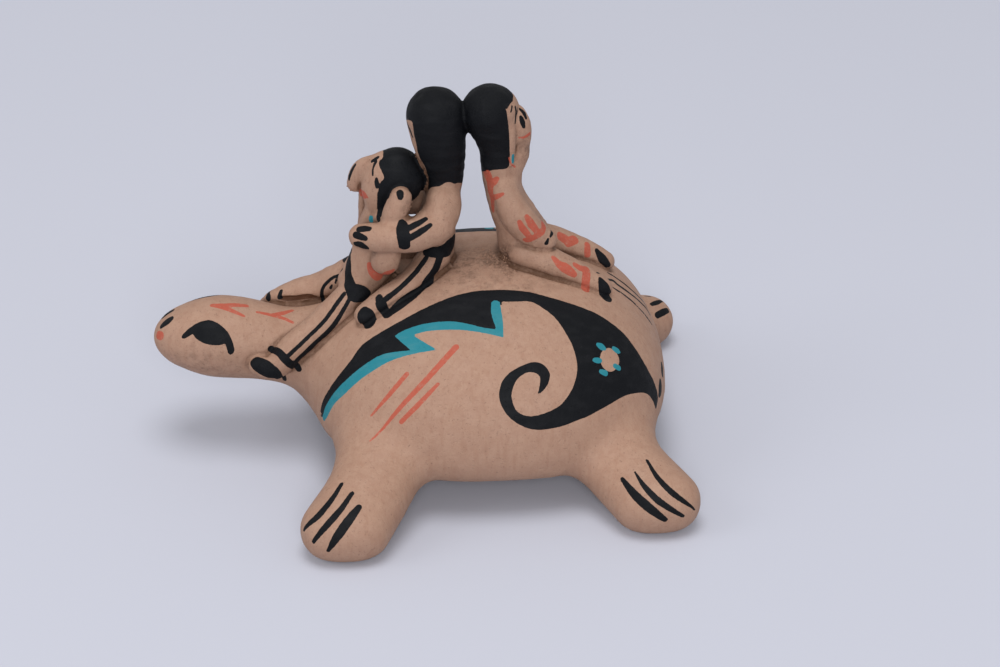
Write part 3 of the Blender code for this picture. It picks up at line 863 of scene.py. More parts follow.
class Viewpoint:
    """Where the photograph was taken from, and so where its pixels lie on the clay."""

    REACH = 0.10
    STEP = 0.0008

    def __init__(self, values):
        azimuth, elevation = values.camera_azimuth, values.camera_elevation
        level = math.cos(elevation)
        self.back = np.array([math.sin(azimuth) * level, -math.cos(azimuth) * level, math.sin(elevation)])
        self.right = np.array([math.cos(azimuth), math.sin(azimuth), 0.0])
        self.up = np.cross(self.back, self.right)
        self.distance = values.camera_distance
        self.eye = LOOK_AT + self.distance * self.back
        self.focal_pixels = values.focal_length / SENSOR_WIDTH * PHOTO_WIDTH
        self.pixel = self.distance / self.focal_pixels

    def pixels(self, points):
        offset = points - self.eye
        scale = -self.focal_pixels / (offset @ self.back)
        across = PHOTO_WIDTH / 2 + scale * (offset @ self.right)
        return np.stack([across, PHOTO_HEIGHT / 2 - scale * (offset @ self.up)], axis=1)

    def cast(self, pixels, clay):
        """The first clay behind each pixel, or the place where the view passes closest to clay."""
        offset = (pixels - (PHOTO_WIDTH / 2, PHOTO_HEIGHT / 2)) / self.focal_pixels
        rays = offset[:, :1] * self.right - offset[:, 1:] * self.up - self.back
        rays /= np.linalg.norm(rays, axis=1)[:, None]
        depth = np.full(len(rays), self.distance - self.REACH)
        best, closest = depth.copy(), np.full(len(rays), np.inf)
        while (depth < self.distance + self.REACH).any():
            gap = clay.distance(self.eye + rays * depth[:, None])
            better = (gap < closest) & (closest > DIFFERENCE)
            best, closest = np.where(better, depth, best), np.where(better, gap, closest)
            if (closest <= DIFFERENCE).all():
                break
            depth = depth + np.clip(gap * 0.6, DIFFERENCE, self.STEP)
        return self.eye + rays * best[:, None]

    def stations(self, stroke, clay):
        """A stroke of the photograph as (x, y, z, half width) in millimetres."""
        rows = np.array(stroke, float)
        places = self.cast(rows[:, :2], clay) / MM
        return np.column_stack([places, rows[:, 2] * self.pixel / 2 / MM])


class Stroke:
    """One brush stroke lying on the clay, with its half width at each station."""

    def __init__(self, rows):
        self.path = rows
        reach = rows[:, 3].max() + FAR / 3
        self.low, self.high = rows[:, :3].min(0) - reach, rows[:, :3].max(0) + reach

    def edge(self, points):
        spots = points / MM
        result = np.full(len(points), FAR)
        near = np.all((spots > self.low) & (spots < self.high), axis=1)
        if near.any():
            result[near] = distance_to_path(spots[near], self.path)
        return result


class Paint:
    """Every painted area, as distances in millimetres that are negative under the paint."""

    SPLITS = 5
    SETTLE_ROUNDS = 12
    CHILDREN = (
        "front_torso", "front_near_arm", "front_far_arm", "front_near_leg", "front_far_leg", "middle", "rear",
    )  # fmt: skip
    OVERLAP = 0.45
    CHILD_MARGIN = 0.25

    def __init__(self, clay, viewpoint):
        self.clay = clay
        self.viewpoint = viewpoint
        self.children = [name for name in clay.lumps if name.startswith(self.CHILDREN)]
        self.black = self.strokes(
            BLACK_ON_TURTLE, BLACK_ON_FRONT_CHILD, BLACK_ON_MIDDLE_CHILD, BLACK_ON_REAR_CHILD
        )
        self.red = self.strokes(RED_ON_TURTLE, RED_ON_CHILDREN)
        self.turquoise = self.strokes(TURQUOISE_STROKES)
        self.crack = self.strokes({"front_crack": FRONT_CRACK})[0]
        self.scroll = outline(
            SCROLL_BACK, SCROLL_FOOT, SCROLL_INSIDE, BOLT_TOP, BOLT_NEAR_SIDE, LIGHTNING_BACK_HIGH,
            LIGHTNING_BACK_STEP, LIGHTNING_BACK_LOW,
        )  # fmt: skip
        self.lightning = outline(
            BOLT_TOP, BOLT_NEAR_SIDE, LIGHTNING_BACK_HIGH, LIGHTNING_BACK_STEP, LIGHTNING_BACK_LOW,
            LIGHTNING_FRONT_LOW, LIGHTNING_FRONT_STEP, LIGHTNING_FRONT_HIGH, BOLT_FAR_SIDE,
        )  # fmt: skip
        self.motif = outline(MOTIF_BACK)
        self.eye = outline(EYE_LID, EYE_BALL, EYE_CORNER)
        self.hair = (
            (outline(FRONT_HAIR_EDGE, FRONT_HAIR_OUTSIDE), ("front_head", "front_face")),
            (outline(MIDDLE_HAIR_EDGE, MIDDLE_HAIR_OUTSIDE), ("middle_body",)),
            (
                outline(REAR_HAIR_EDGE, REAR_HAIR_OUTSIDE),
                ("rear_body", "rear_face", "rear_chin", "rear_near_hair_edge", "rear_far_hair_edge"),
            ),
        )

    def strokes(self, *tables):
        """The strokes of the tables on the side that the photograph shows, and their fellows on the other."""
        named = [(name, rows) for table in tables for name, rows in table.items()]
        cuts = np.cumsum([len(rows) for _, rows in named])[:-1]
        stations = self.viewpoint.stations(np.vstack([rows for _, rows in named]), self.clay)
        runs = []
        for (name, _), rows in zip(named, np.split(stations, cuts)):
            runs.append(curve_through(rows, self.SPLITS))
            if name in (*MIRRORED, *MIRRORED_WITH_SHIFT) or name.startswith(MIRRORED_GROUPS):
                shift = (*MIRRORED_WITH_SHIFT.get(name, (0, 0, 0)), 0)
                runs.append(curve_through(rows * (1, -1, 1, 1) + shift, self.SPLITS))
        laid = np.vstack(runs)
        places = self.clay.settled(laid[:, :3] * MM, self.SETTLE_ROUNDS)
        outward = self.clay.outward(places)
        laid[:, :3] = places / MM
        cuts = np.cumsum([len(run) for run in runs])[:-1]
        for rows, normals in zip(np.split(laid, cuts), np.split(outward, cuts)):
            across = np.cross(normals, np.gradient(rows[:, :3], axis=0))
            across /= np.maximum(np.linalg.norm(across, axis=1), 1e-9)[:, None]
            side = (1, -1, 1) if rows[0, 1] > 0 else (1, 1, 1)
            seen = np.abs(across * side @ self.viewpoint.back)
            rows[:, 3] = np.maximum(rows[:, 3] / np.sqrt(np.clip(1 - seen**2, 0.4, 1)), THINNEST_STROKE)
        return [Stroke(rows) for rows in np.split(laid, cuts)]

    def within(self, points, corners, far_lift=0.0):
        """The distance from an outline drawn on the photograph, the same on both sides of the turtle."""
        folded = points * (1, 0, 1) - np.abs(points) * (0, 1, 0)
        folded[points[:, 1] > 0, 2] -= far_lift * MM
        spots = self.viewpoint.pixels(folded)
        margin = FAR / 2 * MM / self.viewpoint.pixel
        low, high = corners.min(0) - margin, corners.max(0) + margin
        near = np.all((spots > low) & (spots < high), axis=1)
        result = np.full(len(points), FAR)
        if near.any():
            result[near] = edge_of_outline(spots[near], corners) * self.viewpoint.pixel / MM
        return result

    def off_children(self, points, edge):
        """Keeps a painted area of the turtle off the children."""
        near = edge < FAR
        gap = self.clay.closest(points[near], self.children)
        edge[near] = np.maximum(edge[near], self.CHILD_MARGIN - gap)
        return edge

    def flank(self, points):
        """The black scroll and the turquoise lightning of the flanks."""
        black, turquoise = np.full(len(points), FAR), np.full(len(points), FAR)
        behind_head = np.flatnonzero(points[:, 0] > HEAD_END)
        places = points[behind_head]
        lightning = self.within(places, self.lightning, -FAR_FLANK_DROP)
        motif = self.within(places, self.motif, -FAR_FLANK_DROP)
        scroll = self.within(places, self.scroll, -FAR_FLANK_DROP)
        scroll = np.minimum(scroll, np.maximum(scroll - 2 * self.OVERLAP, lightning - self.OVERLAP))
        scroll = np.maximum(scroll, -motif)
        black[behind_head] = self.off_children(places, scroll)
        turquoise[behind_head] = self.off_children(places, lightning)
        return black, turquoise

    def hair_edge(self, points):
        """The three heads of hair, each on its own child's clay."""
        result = np.full(len(points), FAR)
        for corners, own in self.hair:
            gap = self.clay.closest(points, own)
            near = np.flatnonzero(gap < HAIR_REACH)
            others = [name for name in self.clay.lumps if name not in own]
            territory = gap[near] - self.clay.closest(points[near], others)
            result[near] = np.minimum(result[near], np.maximum(self.within(points[near], corners), territory))
        return result

    def turtle_eye(self, points):
        result = np.full(len(points), FAR)
        head = np.flatnonzero(points[:, 0] < HEAD_END)
        result[head] = self.within(points[head], self.eye, FAR_EYE_RISE)
        return result

    def edges(self, points):
        """The three paints and the crack at the points, each as a distance to its edge."""
        black, turquoise = self.flank(points)
        black = np.minimum(black, np.minimum(self.hair_edge(points), self.turtle_eye(points)))
        found = {"black_edge": black, "turquoise_edge": turquoise, "red_edge": np.full(len(points), FAR)}
        for result, strokes in zip(found.values(), (self.black, self.turquoise, self.red)):
            for stroke in strokes:
                np.minimum(result, stroke.edge(points), out=result)
        found["crack_edge"] = self.crack.edge(points)
        return found


def unit_ball(detail):
    """Corners and faces of a ball of radius 1."""
    mesh = bmesh.new()
    bmesh.ops.create_icosphere(mesh, subdivisions=detail, radius=1)
    mesh.verts.index_update()
    corners = np.array([corner.co for corner in mesh.verts])
    faces = np.array([[corner.index for corner in face.verts] for face in mesh.faces])
    mesh.free()
    return corners, faces


def rough_mesh(clay):
    """Overlapping balls of the lumps' own sizes, a little swollen so that hairline gaps close."""
    fine, plain = unit_ball(5), unit_ball(3)
    points, faces, count = [], [], 0
    for lump in clay.lumps.values():
        for centre, half in lump.shape():
            corners, triangles = fine if half.max() > 0.02 else plain
            points.append(centre + corners * (half + SWELL))
            faces.append(triangles + count)
            count += len(corners)
    return mesh_from("rough_clay", np.vstack(points), np.vstack(faces))


def mesh_from(name, points, faces):
    data = bpy.data.meshes.new(name)
    data.from_pydata(points.tolist(), [], faces.tolist())
    return data


def apply_modifier(thing, kind, **settings):
    modifier = thing.modifiers.new(kind, kind)
    for name, value in settings.items():
        setattr(modifier, name, value)
    plain_mesh(thing)


def plain_mesh(thing):
    """Replaces the object's mesh by its evaluated one and removes the modifiers."""
    graph = bpy.context.evaluated_depsgraph_get()
    data = bpy.data.meshes.new_from_object(thing.evaluated_get(graph))
    thing.modifiers.clear()
    old, thing.data = thing.data, data
    if old.users == 0:
        bpy.data.meshes.remove(old)


def corner_array(data):
    points = np.empty(len(data.vertices) * 3)
    data.vertices.foreach_get("co", points)
    return points.reshape(-1, 3)


def triangle_array(data):
    data.calc_loop_triangles()
    faces = np.empty(len(data.loop_triangles) * 3, np.int32)
    data.loop_triangles.foreach_get("vertices", faces)
    return faces.reshape(-1, 3)


def halved(points, faces, wanted):
    """Halves the edges that wanted() picks, and returns the points, the faces and how many points are new."""
    ends = np.sort(faces[:, [[0, 1], [1, 2], [2, 0]]].reshape(-1, 2), axis=1)
    edges, index = np.unique(ends, axis=0, return_inverse=True)
    index = index.reshape(-1, 3)
    length = np.linalg.norm(points[edges[:, 0]] - points[edges[:, 1]], axis=1)
    marked = wanted(edges, length)
    room = (MOST_TRIANGLES - len(faces)) // 2
    if marked.sum() > room:
        marked &= length > np.sort(length[marked])[-room - 1]
    middle = np.cumsum(marked) - 1 + len(points)
    added = points[edges[marked]].mean(axis=1)
    marks, mids = marked[index], middle[index]
    count = marks.sum(1)
    parts = [faces[count == 0]]
    whole = count == 3
    corner, mid = faces[whole], mids[whole]
    parts.append(mid)
    for k in range(3):
        parts.append(np.stack([corner[:, k], mid[:, k], mid[:, k - 1]], axis=1))
    for k in range(3):
        after, last = (k + 1) % 3, (k + 2) % 3
        one = (count == 1) & marks[:, k]
        corner, mid = faces[one], mids[one]
        parts.append(np.stack([corner[:, k], mid[:, k], corner[:, last]], axis=1))
        parts.append(np.stack([mid[:, k], corner[:, after], corner[:, last]], axis=1))
        two = (count == 2) & marks[:, k] & marks[:, after]
        corner, mid = faces[two], mids[two]
        parts.append(np.stack([mid[:, k], corner[:, after], mid[:, after]], axis=1))
        parts.append(np.stack([corner[:, k], mid[:, k], mid[:, after]], axis=1))
        parts.append(np.stack([corner[:, k], mid[:, after], corner[:, last]], axis=1))
    return np.vstack([points, added]), np.vstack(parts), len(added)


def refined(points, faces, clay, paint):
    """Shorter edges where a painted edge, rough clay or a crease needs them."""
    edge_values = paint.edges(points)
    for _ in range(HALVING_ROUNDS):
        closest = np.min([np.abs(values) for values in edge_values.values()], axis=0) * MM
        crumbly = fading(points, CRUMBLY_PLACES)
        crease = hollows(points, clay.outward(points), clay, CREASE_REACH)

        def wanted(edges, length):
            painted = closest[edges].min(axis=1) < length * PAINT_NEARNESS
            rough = (crumbly[edges].min(axis=1) > LEAST_ROUGH) | (crease[edges].max(axis=1) > LEAST_CREASE)
            return (painted & (length > PAINT_EDGE_LENGTH)) | (rough & (length > CRUMBLY_EDGE_LENGTH))

        points, faces, count = halved(points, faces, wanted)
        points[-count:] = clay.settled(points[-count:], 2)
        new_values = paint.edges(points[-count:])
        edge_values = {name: np.append(values, new_values[name]) for name, values in edge_values.items()}
        if len(faces) > MOST_TRIANGLES * NEARLY_FULL:
            break
    return points, faces, edge_values


def relief(points, looks, values):
    """How far the clay stands out from the smooth field, in metres."""
    crumbly, child = looks["crumbly"], looks["child"]
    uneven = bumps(points, BROAD_DENT, 1) * 0.7 + bumps(points, SMALL_DENT, 2) * 0.3
    grit = bumps(points, COARSE_GRIT, 3) * 0.6 + bumps(points, FINE_GRIT, 4) * 0.4
    height = values.unevenness * uneven + values.roughness * crumbly * grit
    height += values.unevenness * (0.25 + 0.55 * child) * bumps(points, SMALL_RIPPLE, 5)
    height += values.unevenness * child * bumps(points, BROAD_RIPPLE, 6)
    height -= CRACK_DEPTH * MM * np.clip(0.3 - looks["crack_edge"] / 0.35, 0, 1)
    below_heads = np.clip((JOINED_HEADS_HEIGHT * MM - points[:, 2]) / HEADS_FADE, 0, 1)
    height -= CREASE_DEPTH * MM * below_heads * np.clip(looks["crease"] * 4 - 0.4, 0, 1)
    on_sole = np.clip(points[:, 2] / SOLE_FADE, 0, 1)
    return height * on_sole


def hollows(points, outward, clay, reach):
    """0 on flat or rounded clay, up to 1 deep in a crease that is about reach wide."""
    above = clay.distance(points + outward * reach) / reach
    return np.clip(1 - above, 0, 1)


class Nodes:
    """Short calls that add nodes to a tree and join them."""

    def __init__(self, tree):
        self.tree = tree

    def add(self, kind, inputs=None, **settings):
        node = self.tree.nodes.new(kind)
        for name, value in settings.items():
            setattr(node, name, value)
        for name, value in (inputs or {}).items():
            self.feed(node.inputs[name], value)
        return node

    def feed(self, socket, value):
        """Joins another node's socket, or sets a plain value."""
        if isinstance(value, bpy.types.NodeSocket):
            self.tree.links.new(value, socket)
        else:
            socket.default_value = value

    def math(self, operation, first, second):
        node = self.add("ShaderNodeMath", {0: first, 1: second}, operation=operation)
        return node.outputs["Value"]


class Finish(Nodes):
    """One material, with the calls that its colour, roughness and bump are made of."""

    def __init__(self, name):
        self.material = bpy.data.materials.new(name)
        self.material.use_nodes = True
        super().__init__(self.material.node_tree)
        self.surface = self.tree.nodes["Principled BSDF"]
        self.place = self.add("ShaderNodeTexCoord").outputs["Object"]

    def attribute(self, name):
        return self.add("ShaderNodeAttribute", attribute_name=name).outputs["Fac"]

    def noise(self, size, detail=2.0, stretch=None, roughness=0.5):
        """Soft random values from 0 to 1, with spots about size across, in metres."""
        place = self.place
        if stretch:
            mapped = self.add("ShaderNodeMapping", {"Vector": place, "Scale": stretch["scale"]})
            mapped.inputs["Rotation"].default_value = stretch["turn"]
            place = mapped.outputs["Vector"]
        inputs = {"Vector": place, "Scale": 1 / size, "Detail": detail, "Roughness": roughness}
        return self.add("ShaderNodeTexNoise", inputs).outputs["Fac"]

    def band(self, value, start, end, low=0.0, high=1.0):
        """low up to start and high from end on, with a smooth step between."""
        inputs = {"Value": value, "From Min": start, "From Max": end, "To Min": low, "To Max": high}
        node = self.add("ShaderNodeMapRange", inputs, interpolation_type="SMOOTHSTEP")
        return node.outputs["Result"]

    def mixed(self, share, first, second):
        node = self.add("ShaderNodeMix", data_type="RGBA", blend_type="MIX")
        for socket, value in ((node.inputs[0], share), (node.inputs[6], first), (node.inputs[7], second)):
            self.feed(socket, value)
        return node.outputs[2]

    def bumped(self, height, distance, strength, under=None):
        inputs = {"Height": height, "Distance": distance, "Strength": strength}
        if under is not None:
            inputs["Normal"] = under
        return self.add("ShaderNodeBump", inputs).outputs["Normal"]

    def done(self, colour, roughness, normal, specular):
        inputs = {"Base Color": colour, "Roughness": roughness, "Normal": normal}
        inputs["Specular IOR Level"] = specular
        for name, value in inputs.items():
            self.feed(self.surface.inputs[name], value)
        return self.material


def plain(colour):
    return (*colour, 1.0)


def clay_colour(finish, colours):
    """Buff slip with soft mottling, wiping streaks, darker specks and small pits."""
    mottled = finish.band(finish.noise(0.0032, 5.0, roughness=0.7), 0.36, 0.66)
    colour = finish.mixed(mottled, plain(colours.clay), plain(colours.clay_pale))
    streaks = finish.noise(0.0012, 4.0, {"scale": (0.9, 0.9, 0.10), "turn": (0.35, 0.25, 0.2)})
    colour = finish.mixed(finish.band(streaks, 0.48, 0.70, 0, 0.38), colour, plain(colours.clay_warm))
    grain = finish.band(finish.noise(0.00045, 3.0, roughness=0.7), 0.46, 0.66, 0, 0.28)
    colour = finish.mixed(grain, colour, plain(colours.clay_warm))
    flecks = finish.band(finish.noise(0.00075, 3.0, roughness=0.6), 0.62, 0.70, 0, 0.34)
    return finish.mixed(flecks, colour, plain(colours.earth))


def clay_bump(finish, coarse=1.0):
    """Fine grain under shallow pits and short wiping marks."""
    grain = finish.noise(0.00038, 4.0, roughness=0.7)
    marks = finish.noise(0.0013, 3.0, {"scale": (0.9, 0.9, 0.2), "turn": (0.35, 0.25, 0.2)})
    pits = finish.band(finish.noise(0.0009, 2.0), 0.28, 0.38)
    under = finish.bumped(marks, 0.00024, 0.60)
    under = finish.bumped(grain, 0.00018, finish.math("MULTIPLY", coarse, 0.75), under)
    return finish.bumped(pits, 0.00014, 0.6, under)


def clay_shades(finish, colours):
    """Bare clay, warmer in patches on the children, with smudges, rough places, creases and the split.

    Painted shade darkens the hollows, the creases, the split and some of the smudges.
    """
    patches = finish.band(finish.noise(0.0021, 4.0, roughness=0.6), 0.46, 0.66, 0, 0.25)
    blotches = finish.band(finish.noise(0.0030, 5.0, roughness=0.72), 0.40, 0.72)
    broken = finish.band(finish.noise(0.0008), 0.42, 0.60, 0, 0.7)
    crease_grime_and_shade = finish.band(finish.noise(0.0016, 3.0), 0.25, 0.6, 0.45, 0.90)
    crease = finish.band(finish.attribute("crease"), 0.17, 0.45)
    layers = (
        (finish.math("MULTIPLY", finish.attribute("child"), patches), colours.clay_warm),
        # Smudges, and painted shade between the children, on the rear child's face and on the turtle's head
        # side
        (finish.math("MULTIPLY", finish.attribute("smudge_and_shade"), blotches), colours.earth),
        (finish.math("MULTIPLY", finish.attribute("crumbly"), broken), colours.earth),
        # Painted shade: hollows near the children darkened with earth brown
        (finish.band(finish.attribute("hollow_shade"), 0.25, 0.85, 0, 0.34), colours.earth),
        # Grime and painted shade in the creases near the children
        (finish.math("MULTIPLY", crease, crease_grime_and_shade), colours.crease),
        # Painted shade inside the split beside the front child's far leg
        (finish.band(finish.attribute("crack_edge"), 0.10, -0.10), colours.crack),
    )
    colour = clay_colour(finish, colours)
    for share, shade in layers:
        colour = finish.mixed(share, colour, plain(shade))
    return colour


def painted_clay(colours):
    """The clay's shades, then black, red and turquoise paint by the distances on the mesh."""
    finish = Finish("painted_clay")
    colour = clay_shades(finish, colours)
    waver = finish.math("SUBTRACT", finish.noise(0.0011, 3.0, roughness=0.65), 0.5)
    waver = finish.math("MULTIPLY", waver, colours.brush_edge * 4)
    masks = {}
    for paint, (softness, spread) in BRUSHES.items():
        edge = finish.math("ADD", finish.attribute(paint + "_edge"), waver)
        masks[paint] = finish.band(edge, spread + softness, spread - softness)

    streaks = finish.noise(0.0019, 4.0, {"scale": (0.22, 0.8, 1.0), "turn": (0.0, 0.7, 0.0)})
    thin = finish.band(streaks, 0.45, 0.72, 0, 0.5)
    black = finish.mixed(thin, plain(colours.black), plain(colours.black_thin))
    colour = finish.mixed(masks["black"], colour, black)
    dry = finish.band(finish.noise(0.0010, 4.0, roughness=0.7), 0.70, 0.52, 0.45, 0.95)
    colour = finish.mixed(finish.math("MULTIPLY", masks["red"], dry), colour, plain(colours.red))
    turquoise = finish.mixed(thin, plain(colours.turquoise), plain(colours.turquoise_thin))
    colour = finish.mixed(masks["turquoise"], colour, turquoise)

    painted = finish.math("MAXIMUM", masks["black"], masks["turquoise"])
    patchy = finish.band(finish.noise(0.0045, 3.0), 0.3, 0.7, 0.08, -0.08)
    roughness = finish.math("ADD", finish.band(painted, 0, 1, 0.70, 0.60), patchy)
    coarse = finish.math("ADD", finish.math("MULTIPLY", finish.attribute("child"), 0.7), 0.6)
    normal = finish.bumped(painted, 0.00004, 0.5, clay_bump(finish, coarse))
    specular = finish.band(painted, 0, 1, 0.42, 0.12)
    return finish.done(colour, roughness, normal, specular)


def bare_clay(colours):
    finish = Finish("bare_clay")
    colour = clay_colour(finish, colours)
    dark = finish.band(finish.noise(0.0012, 2.0), 0.45, 0.62, 0, 0.6)
    colour = finish.mixed(dark, colour, plain(colours.earth))
    roughness = finish.band(finish.noise(0.0009), 0.3, 0.7, 0.80, 0.92)
    return finish.done(colour, roughness, clay_bump(finish), 0.25)


def pale_paper(stage):
    finish = Finish("pale_paper")
    clouds = finish.band(finish.noise(0.35, 2.0), 0.3, 0.7)
    colour = finish.mixed(clouds, plain(stage.floor_colour), plain(stage.floor_shade))
    roughness = finish.band(finish.noise(0.05), 0.3, 0.7, 0.82, 0.9)
    return finish.done(colour, roughness, finish.bumped(finish.noise(0.002), 0.00002, 0.2), 0.2)


def store(data, name, values):
    attribute = data.attributes.new(name, "FLOAT", "POINT")
    attribute.data.foreach_set("value", np.ascontiguousarray(values, np.float32))


def placed(name, data):
    thing = bpy.data.objects.new(name, data)
    bpy.context.scene.collection.objects.link(thing)
    return thing


def hand_in(thing):
    """Puts a finished piece on the figure's body, in place of the plain solid."""
    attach(thing, BODY)
    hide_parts(NODE)


class STORYTELLER_OT_figure(bpy.types.Operator):
    """Press the clay together, paint it and put it in its place"""

    bl_idname = "storyteller.figure"
    bl_label = "Figure"

    def modelled(self, clay):
        """The lumps' own mesh, as points and triangles."""
        thing = placed("rough_clay", rough_mesh(clay))
        apply_modifier(thing, "REMESH", mode="VOXEL", voxel_size=VOXEL)
        points = clay.settled(corner_array(thing.data))
        thing.data.vertices.foreach_set("co", points.ravel())
        count = len(triangle_array(thing.data))
        apply_modifier(thing, "DECIMATE", ratio=BASE_TRIANGLES / count)
        points, faces = clay.settled(corner_array(thing.data), 2), triangle_array(thing.data)
        bpy.data.objects.remove(thing)
        return points, faces

    def execute(self, context):
        values, stage = context.scene.storyteller_sizes, context.scene.storyteller_stage
        clay = Clay(values)
        paint = Paint(clay, Viewpoint(stage))
        points, faces = self.modelled(clay)
        points, faces, edges = refined(points, faces, clay, paint)
        outward = clay.outward(points)
        crumbly = fading(points, CRUMBLY_PLACES)
        near_child = clay.closest(points, paint.children)
        sheltered = np.clip(1 - near_child / SHELTER, 0, 1)
        looks = {
            "crumbly": crumbly,
            # Smudges and painted shade
            "smudge_and_shade": fading(points, SMUDGES_AND_SHADE),
            # Creases: pressed in, and darkened with grime and painted shade near the children
            "crease": hollows(points, outward, clay, CREASE_REACH) * np.clip(1.5 * sheltered, 0, 1),
            # Painted shade in the wider hollows near the children
            "hollow_shade": hollows(points, outward, clay, HOLLOW_REACH) * sheltered,
            "child": np.clip(1 - near_child, 0, 1),
            **edges,
        }
        height = relief(points, looks, values)
        points = points + outward * height[:, None]
        points[:, 2] = np.maximum(points[:, 2], 0)
        middle = (points.min(0) + points.max(0)) / 2
        stage.shift = (*((Vector(sum(CAD_BOX, Vector()) / 2) - Vector(middle)).xy), 0.0)
        data = mesh_from("painted_figure", points + np.array(stage.shift), faces)
        for name, attribute in looks.items():
            store(data, name, attribute)
        data.shade_smooth()
        data.materials.append(painted_clay(context.scene.storyteller_colours))
        hand_in(placed("painted_figure", data))
        return {"FINISHED"}


def crumb_tree(material):
    """Scatters small lumps where the surface is marked as crumbly."""
    tree = bpy.data.node_groups.new("crumb_scatter", "GeometryNodeTree")
    tree.interface.new_socket("Geometry", in_out="INPUT", socket_type="NodeSocketGeometry")
    density = tree.interface.new_socket("Density", in_out="INPUT", socket_type="NodeSocketFloat")
    size = tree.interface.new_socket("Crumb size", in_out="INPUT", socket_type="NodeSocketFloat")
    tree.interface.new_socket("Geometry", in_out="OUTPUT", socket_type="NodeSocketGeometry")
    nodes = Nodes(tree)
    given = nodes.add("NodeGroupInput").outputs
    crumbly = nodes.add("GeometryNodeInputNamedAttribute", {"Name": "crumbly"}, data_type="FLOAT")
    steep = nodes.math("POWER", crumbly.outputs["Attribute"], 1.5)
    scatter = nodes.add(
        "GeometryNodeDistributePointsOnFaces",
        {"Mesh": given["Geometry"], "Density": nodes.math("MULTIPLY", steep, given["Density"]), "Seed": 7},
        distribute_method="RANDOM",
    )
    crumb = nodes.add("GeometryNodeMeshIcoSphere", {"Radius": given["Crumb size"], "Subdivisions": 2})
    scale = nodes.add("FunctionNodeRandomValue", {"Seed": 3}, data_type="FLOAT_VECTOR")
    scale.inputs[0].default_value, scale.inputs[1].default_value = (0.35, 0.35, 0.3), (1.0, 0.9, 0.8)
    turn = nodes.add("FunctionNodeRandomValue", {"Seed": 5}, data_type="FLOAT_VECTOR")
    turn.inputs[1].default_value = (math.tau,) * 3
    inputs = {"Points": scatter.outputs["Points"], "Instance": crumb.outputs["Mesh"]}
    instances = nodes.add("GeometryNodeInstanceOnPoints", inputs)
    nodes.feed(instances.inputs["Scale"], scale.outputs[0])
    nodes.feed(instances.inputs["Rotation"], turn.outputs[0])
    real = nodes.add("GeometryNodeRealizeInstances", {"Geometry": instances.outputs["Instances"]})
    inputs = {"Geometry": real.outputs["Geometry"], "Material": material}
    finished = nodes.add("GeometryNodeSetMaterial", inputs)
    nodes.add("NodeGroupOutput", {"Geometry": finished.outputs["Geometry"]})
    return tree, {"density": density.identifier, "size": size.identifier}


class STORYTELLER_OT_crumbs(bpy.types.Operator):
    """Scatter crumbs of clay over the rough places"""

    bl_idname = "storyteller.crumbs"
    bl_label = "Clay crumbs"

    def execute(self, context):
        values = context.scene.storyteller_sizes
        figure = bpy.data.objects["painted_figure"]
        thing = placed("clay_crumbs", figure.data.copy())
        tree, inputs = crumb_tree(bare_clay(context.scene.storyteller_colours))
        modifier = thing.modifiers.new("Crumbs", "NODES")
        modifier.node_group = tree
        modifier[inputs["density"]] = values.crumb_density
        modifier[inputs["size"]] = values.crumb_size
        plain_mesh(thing)
        if len(thing.data.vertices) == 0:
            raise RuntimeError("no crumb was scattered")
        thing.data.shade_smooth()
        hand_in(thing)
        return {"FINISHED"}


# In metres: the diameter and the place of each light, and the place that all of them face
LIGHTS = {
    "top_light": (1.3, (-0.05, -0.2, 2.3)),
    "front_light": (0.7, (0.0, -1.5, 0.80)),
    "side_light": (0.7, (-1.2, -0.3, 0.9)),
}
LIT_PLACE = (0, 0, 0.04)


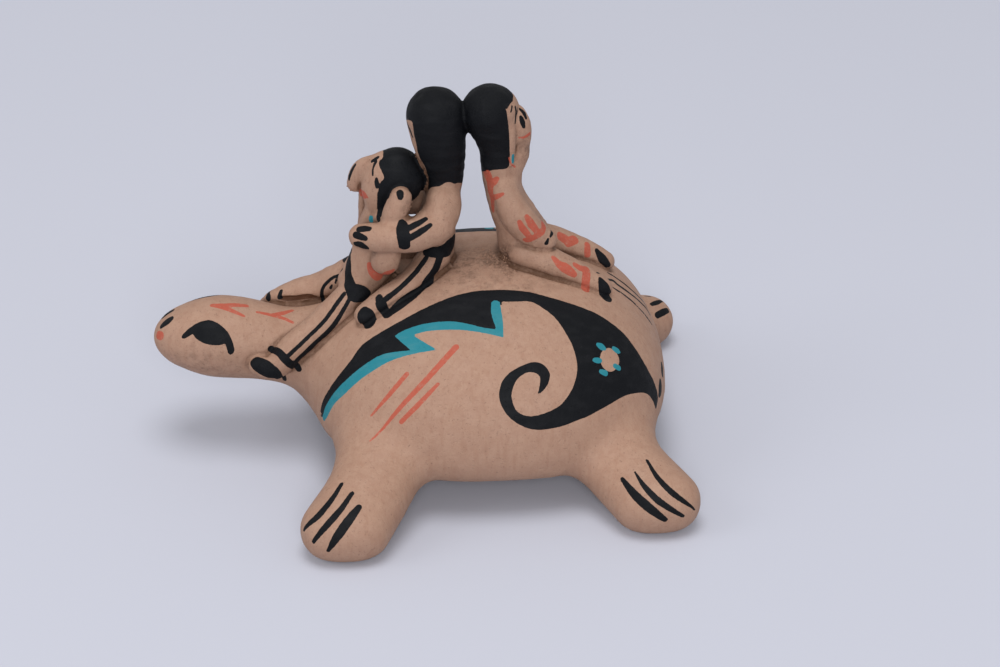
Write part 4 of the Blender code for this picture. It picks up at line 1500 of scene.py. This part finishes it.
class STORYTELLER_OT_stage(bpy.types.Operator):
    """Lay the pale floor, hang the soft lights and set up the camera"""

    bl_idname = "storyteller.stage"
    bl_label = "Floor, light and camera"

    def light(self, name, power, size, place):
        data = bpy.data.lights.new(name, "AREA")
        data.shape, data.size, data.energy = "DISK", size, power
        thing = placed(name, data)
        thing.location = place
        thing.rotation_euler = (Vector(LIT_PLACE) - Vector(place)).to_track_quat("-Z", "Y").to_euler()
        return thing

    def execute(self, context):
        stage = context.scene.storyteller_stage
        half = stage.floor_width / 2
        corners = np.array([(-half, -half, 0), (half, -half, 0), (half, half, 0), (-half, half, 0)])
        floor = placed("floor", mesh_from("floor", corners, np.array([(0, 1, 2, 3)])))
        floor.data.materials.append(pale_paper(stage))
        world = bpy.data.worlds.new("surround")
        world.use_nodes = True
        background = world.node_tree.nodes["Background"]
        background.inputs["Color"].default_value = plain(stage.surround_colour)
        background.inputs["Strength"].default_value = stage.surround
        context.scene.world = world
        context.scene.view_settings.view_transform = "Standard"
        powers = (stage.top_light, stage.front_light, stage.side_light)
        lights = [self.light(name, power, *LIGHTS[name]) for name, power in zip(LIGHTS, powers)]

        viewpoint = Viewpoint(stage)
        data = bpy.data.cameras.new("camera")
        data.sensor_width, data.lens = SENSOR_WIDTH, stage.focal_length
        data.clip_start, data.clip_end = 0.01, 20.0
        camera = placed("camera", data)
        frame_axes = Matrix((viewpoint.right, viewpoint.up, viewpoint.back)).transposed().to_4x4()
        camera.matrix_world = Matrix.Translation(Vector(viewpoint.eye) + stage.shift) @ frame_axes
        context.scene.camera = camera
        return {"FINISHED"}


class STORYTELLER_PT_panel(bpy.types.Panel):
    """The figure's values and its building steps"""

    bl_label = "Storyteller"
    bl_idname = "STORYTELLER_PT_panel"
    bl_space_type = "VIEW_3D"
    bl_region_type = "UI"
    bl_category = "Storyteller"

    def draw(self, context):
        for name in ("storyteller_sizes", "storyteller_colours", "storyteller_stage"):
            group = getattr(context.scene, name)
            box = self.layout.box()
            for value in group.__annotations__:
                box.prop(group, value)
        for operator in STEPS:
            self.layout.operator(operator.bl_idname)


STEPS = (STORYTELLER_OT_figure, STORYTELLER_OT_crumbs, STORYTELLER_OT_stage)
GROUPS = {
    "storyteller_sizes": FigureSizes,
    "storyteller_colours": PaintColours,
    "storyteller_stage": StageValues,
}


def register():
    for kind in (*GROUPS.values(), *STEPS, STORYTELLER_PT_panel):
        bpy.utils.register_class(kind)
    for name, group in GROUPS.items():
        setattr(bpy.types.Scene, name, bpy.props.PointerProperty(type=group))


def unregister():
    for name in GROUPS:
        delattr(bpy.types.Scene, name)
    for kind in (STORYTELLER_PT_panel, *reversed(STEPS), *reversed(GROUPS.values())):
        bpy.utils.unregister_class(kind)


def main():
    register()
    bpy.ops.storyteller.figure()
    bpy.ops.storyteller.crumbs()
    bpy.ops.storyteller.stage()


if __name__ == "__main__":
    main()
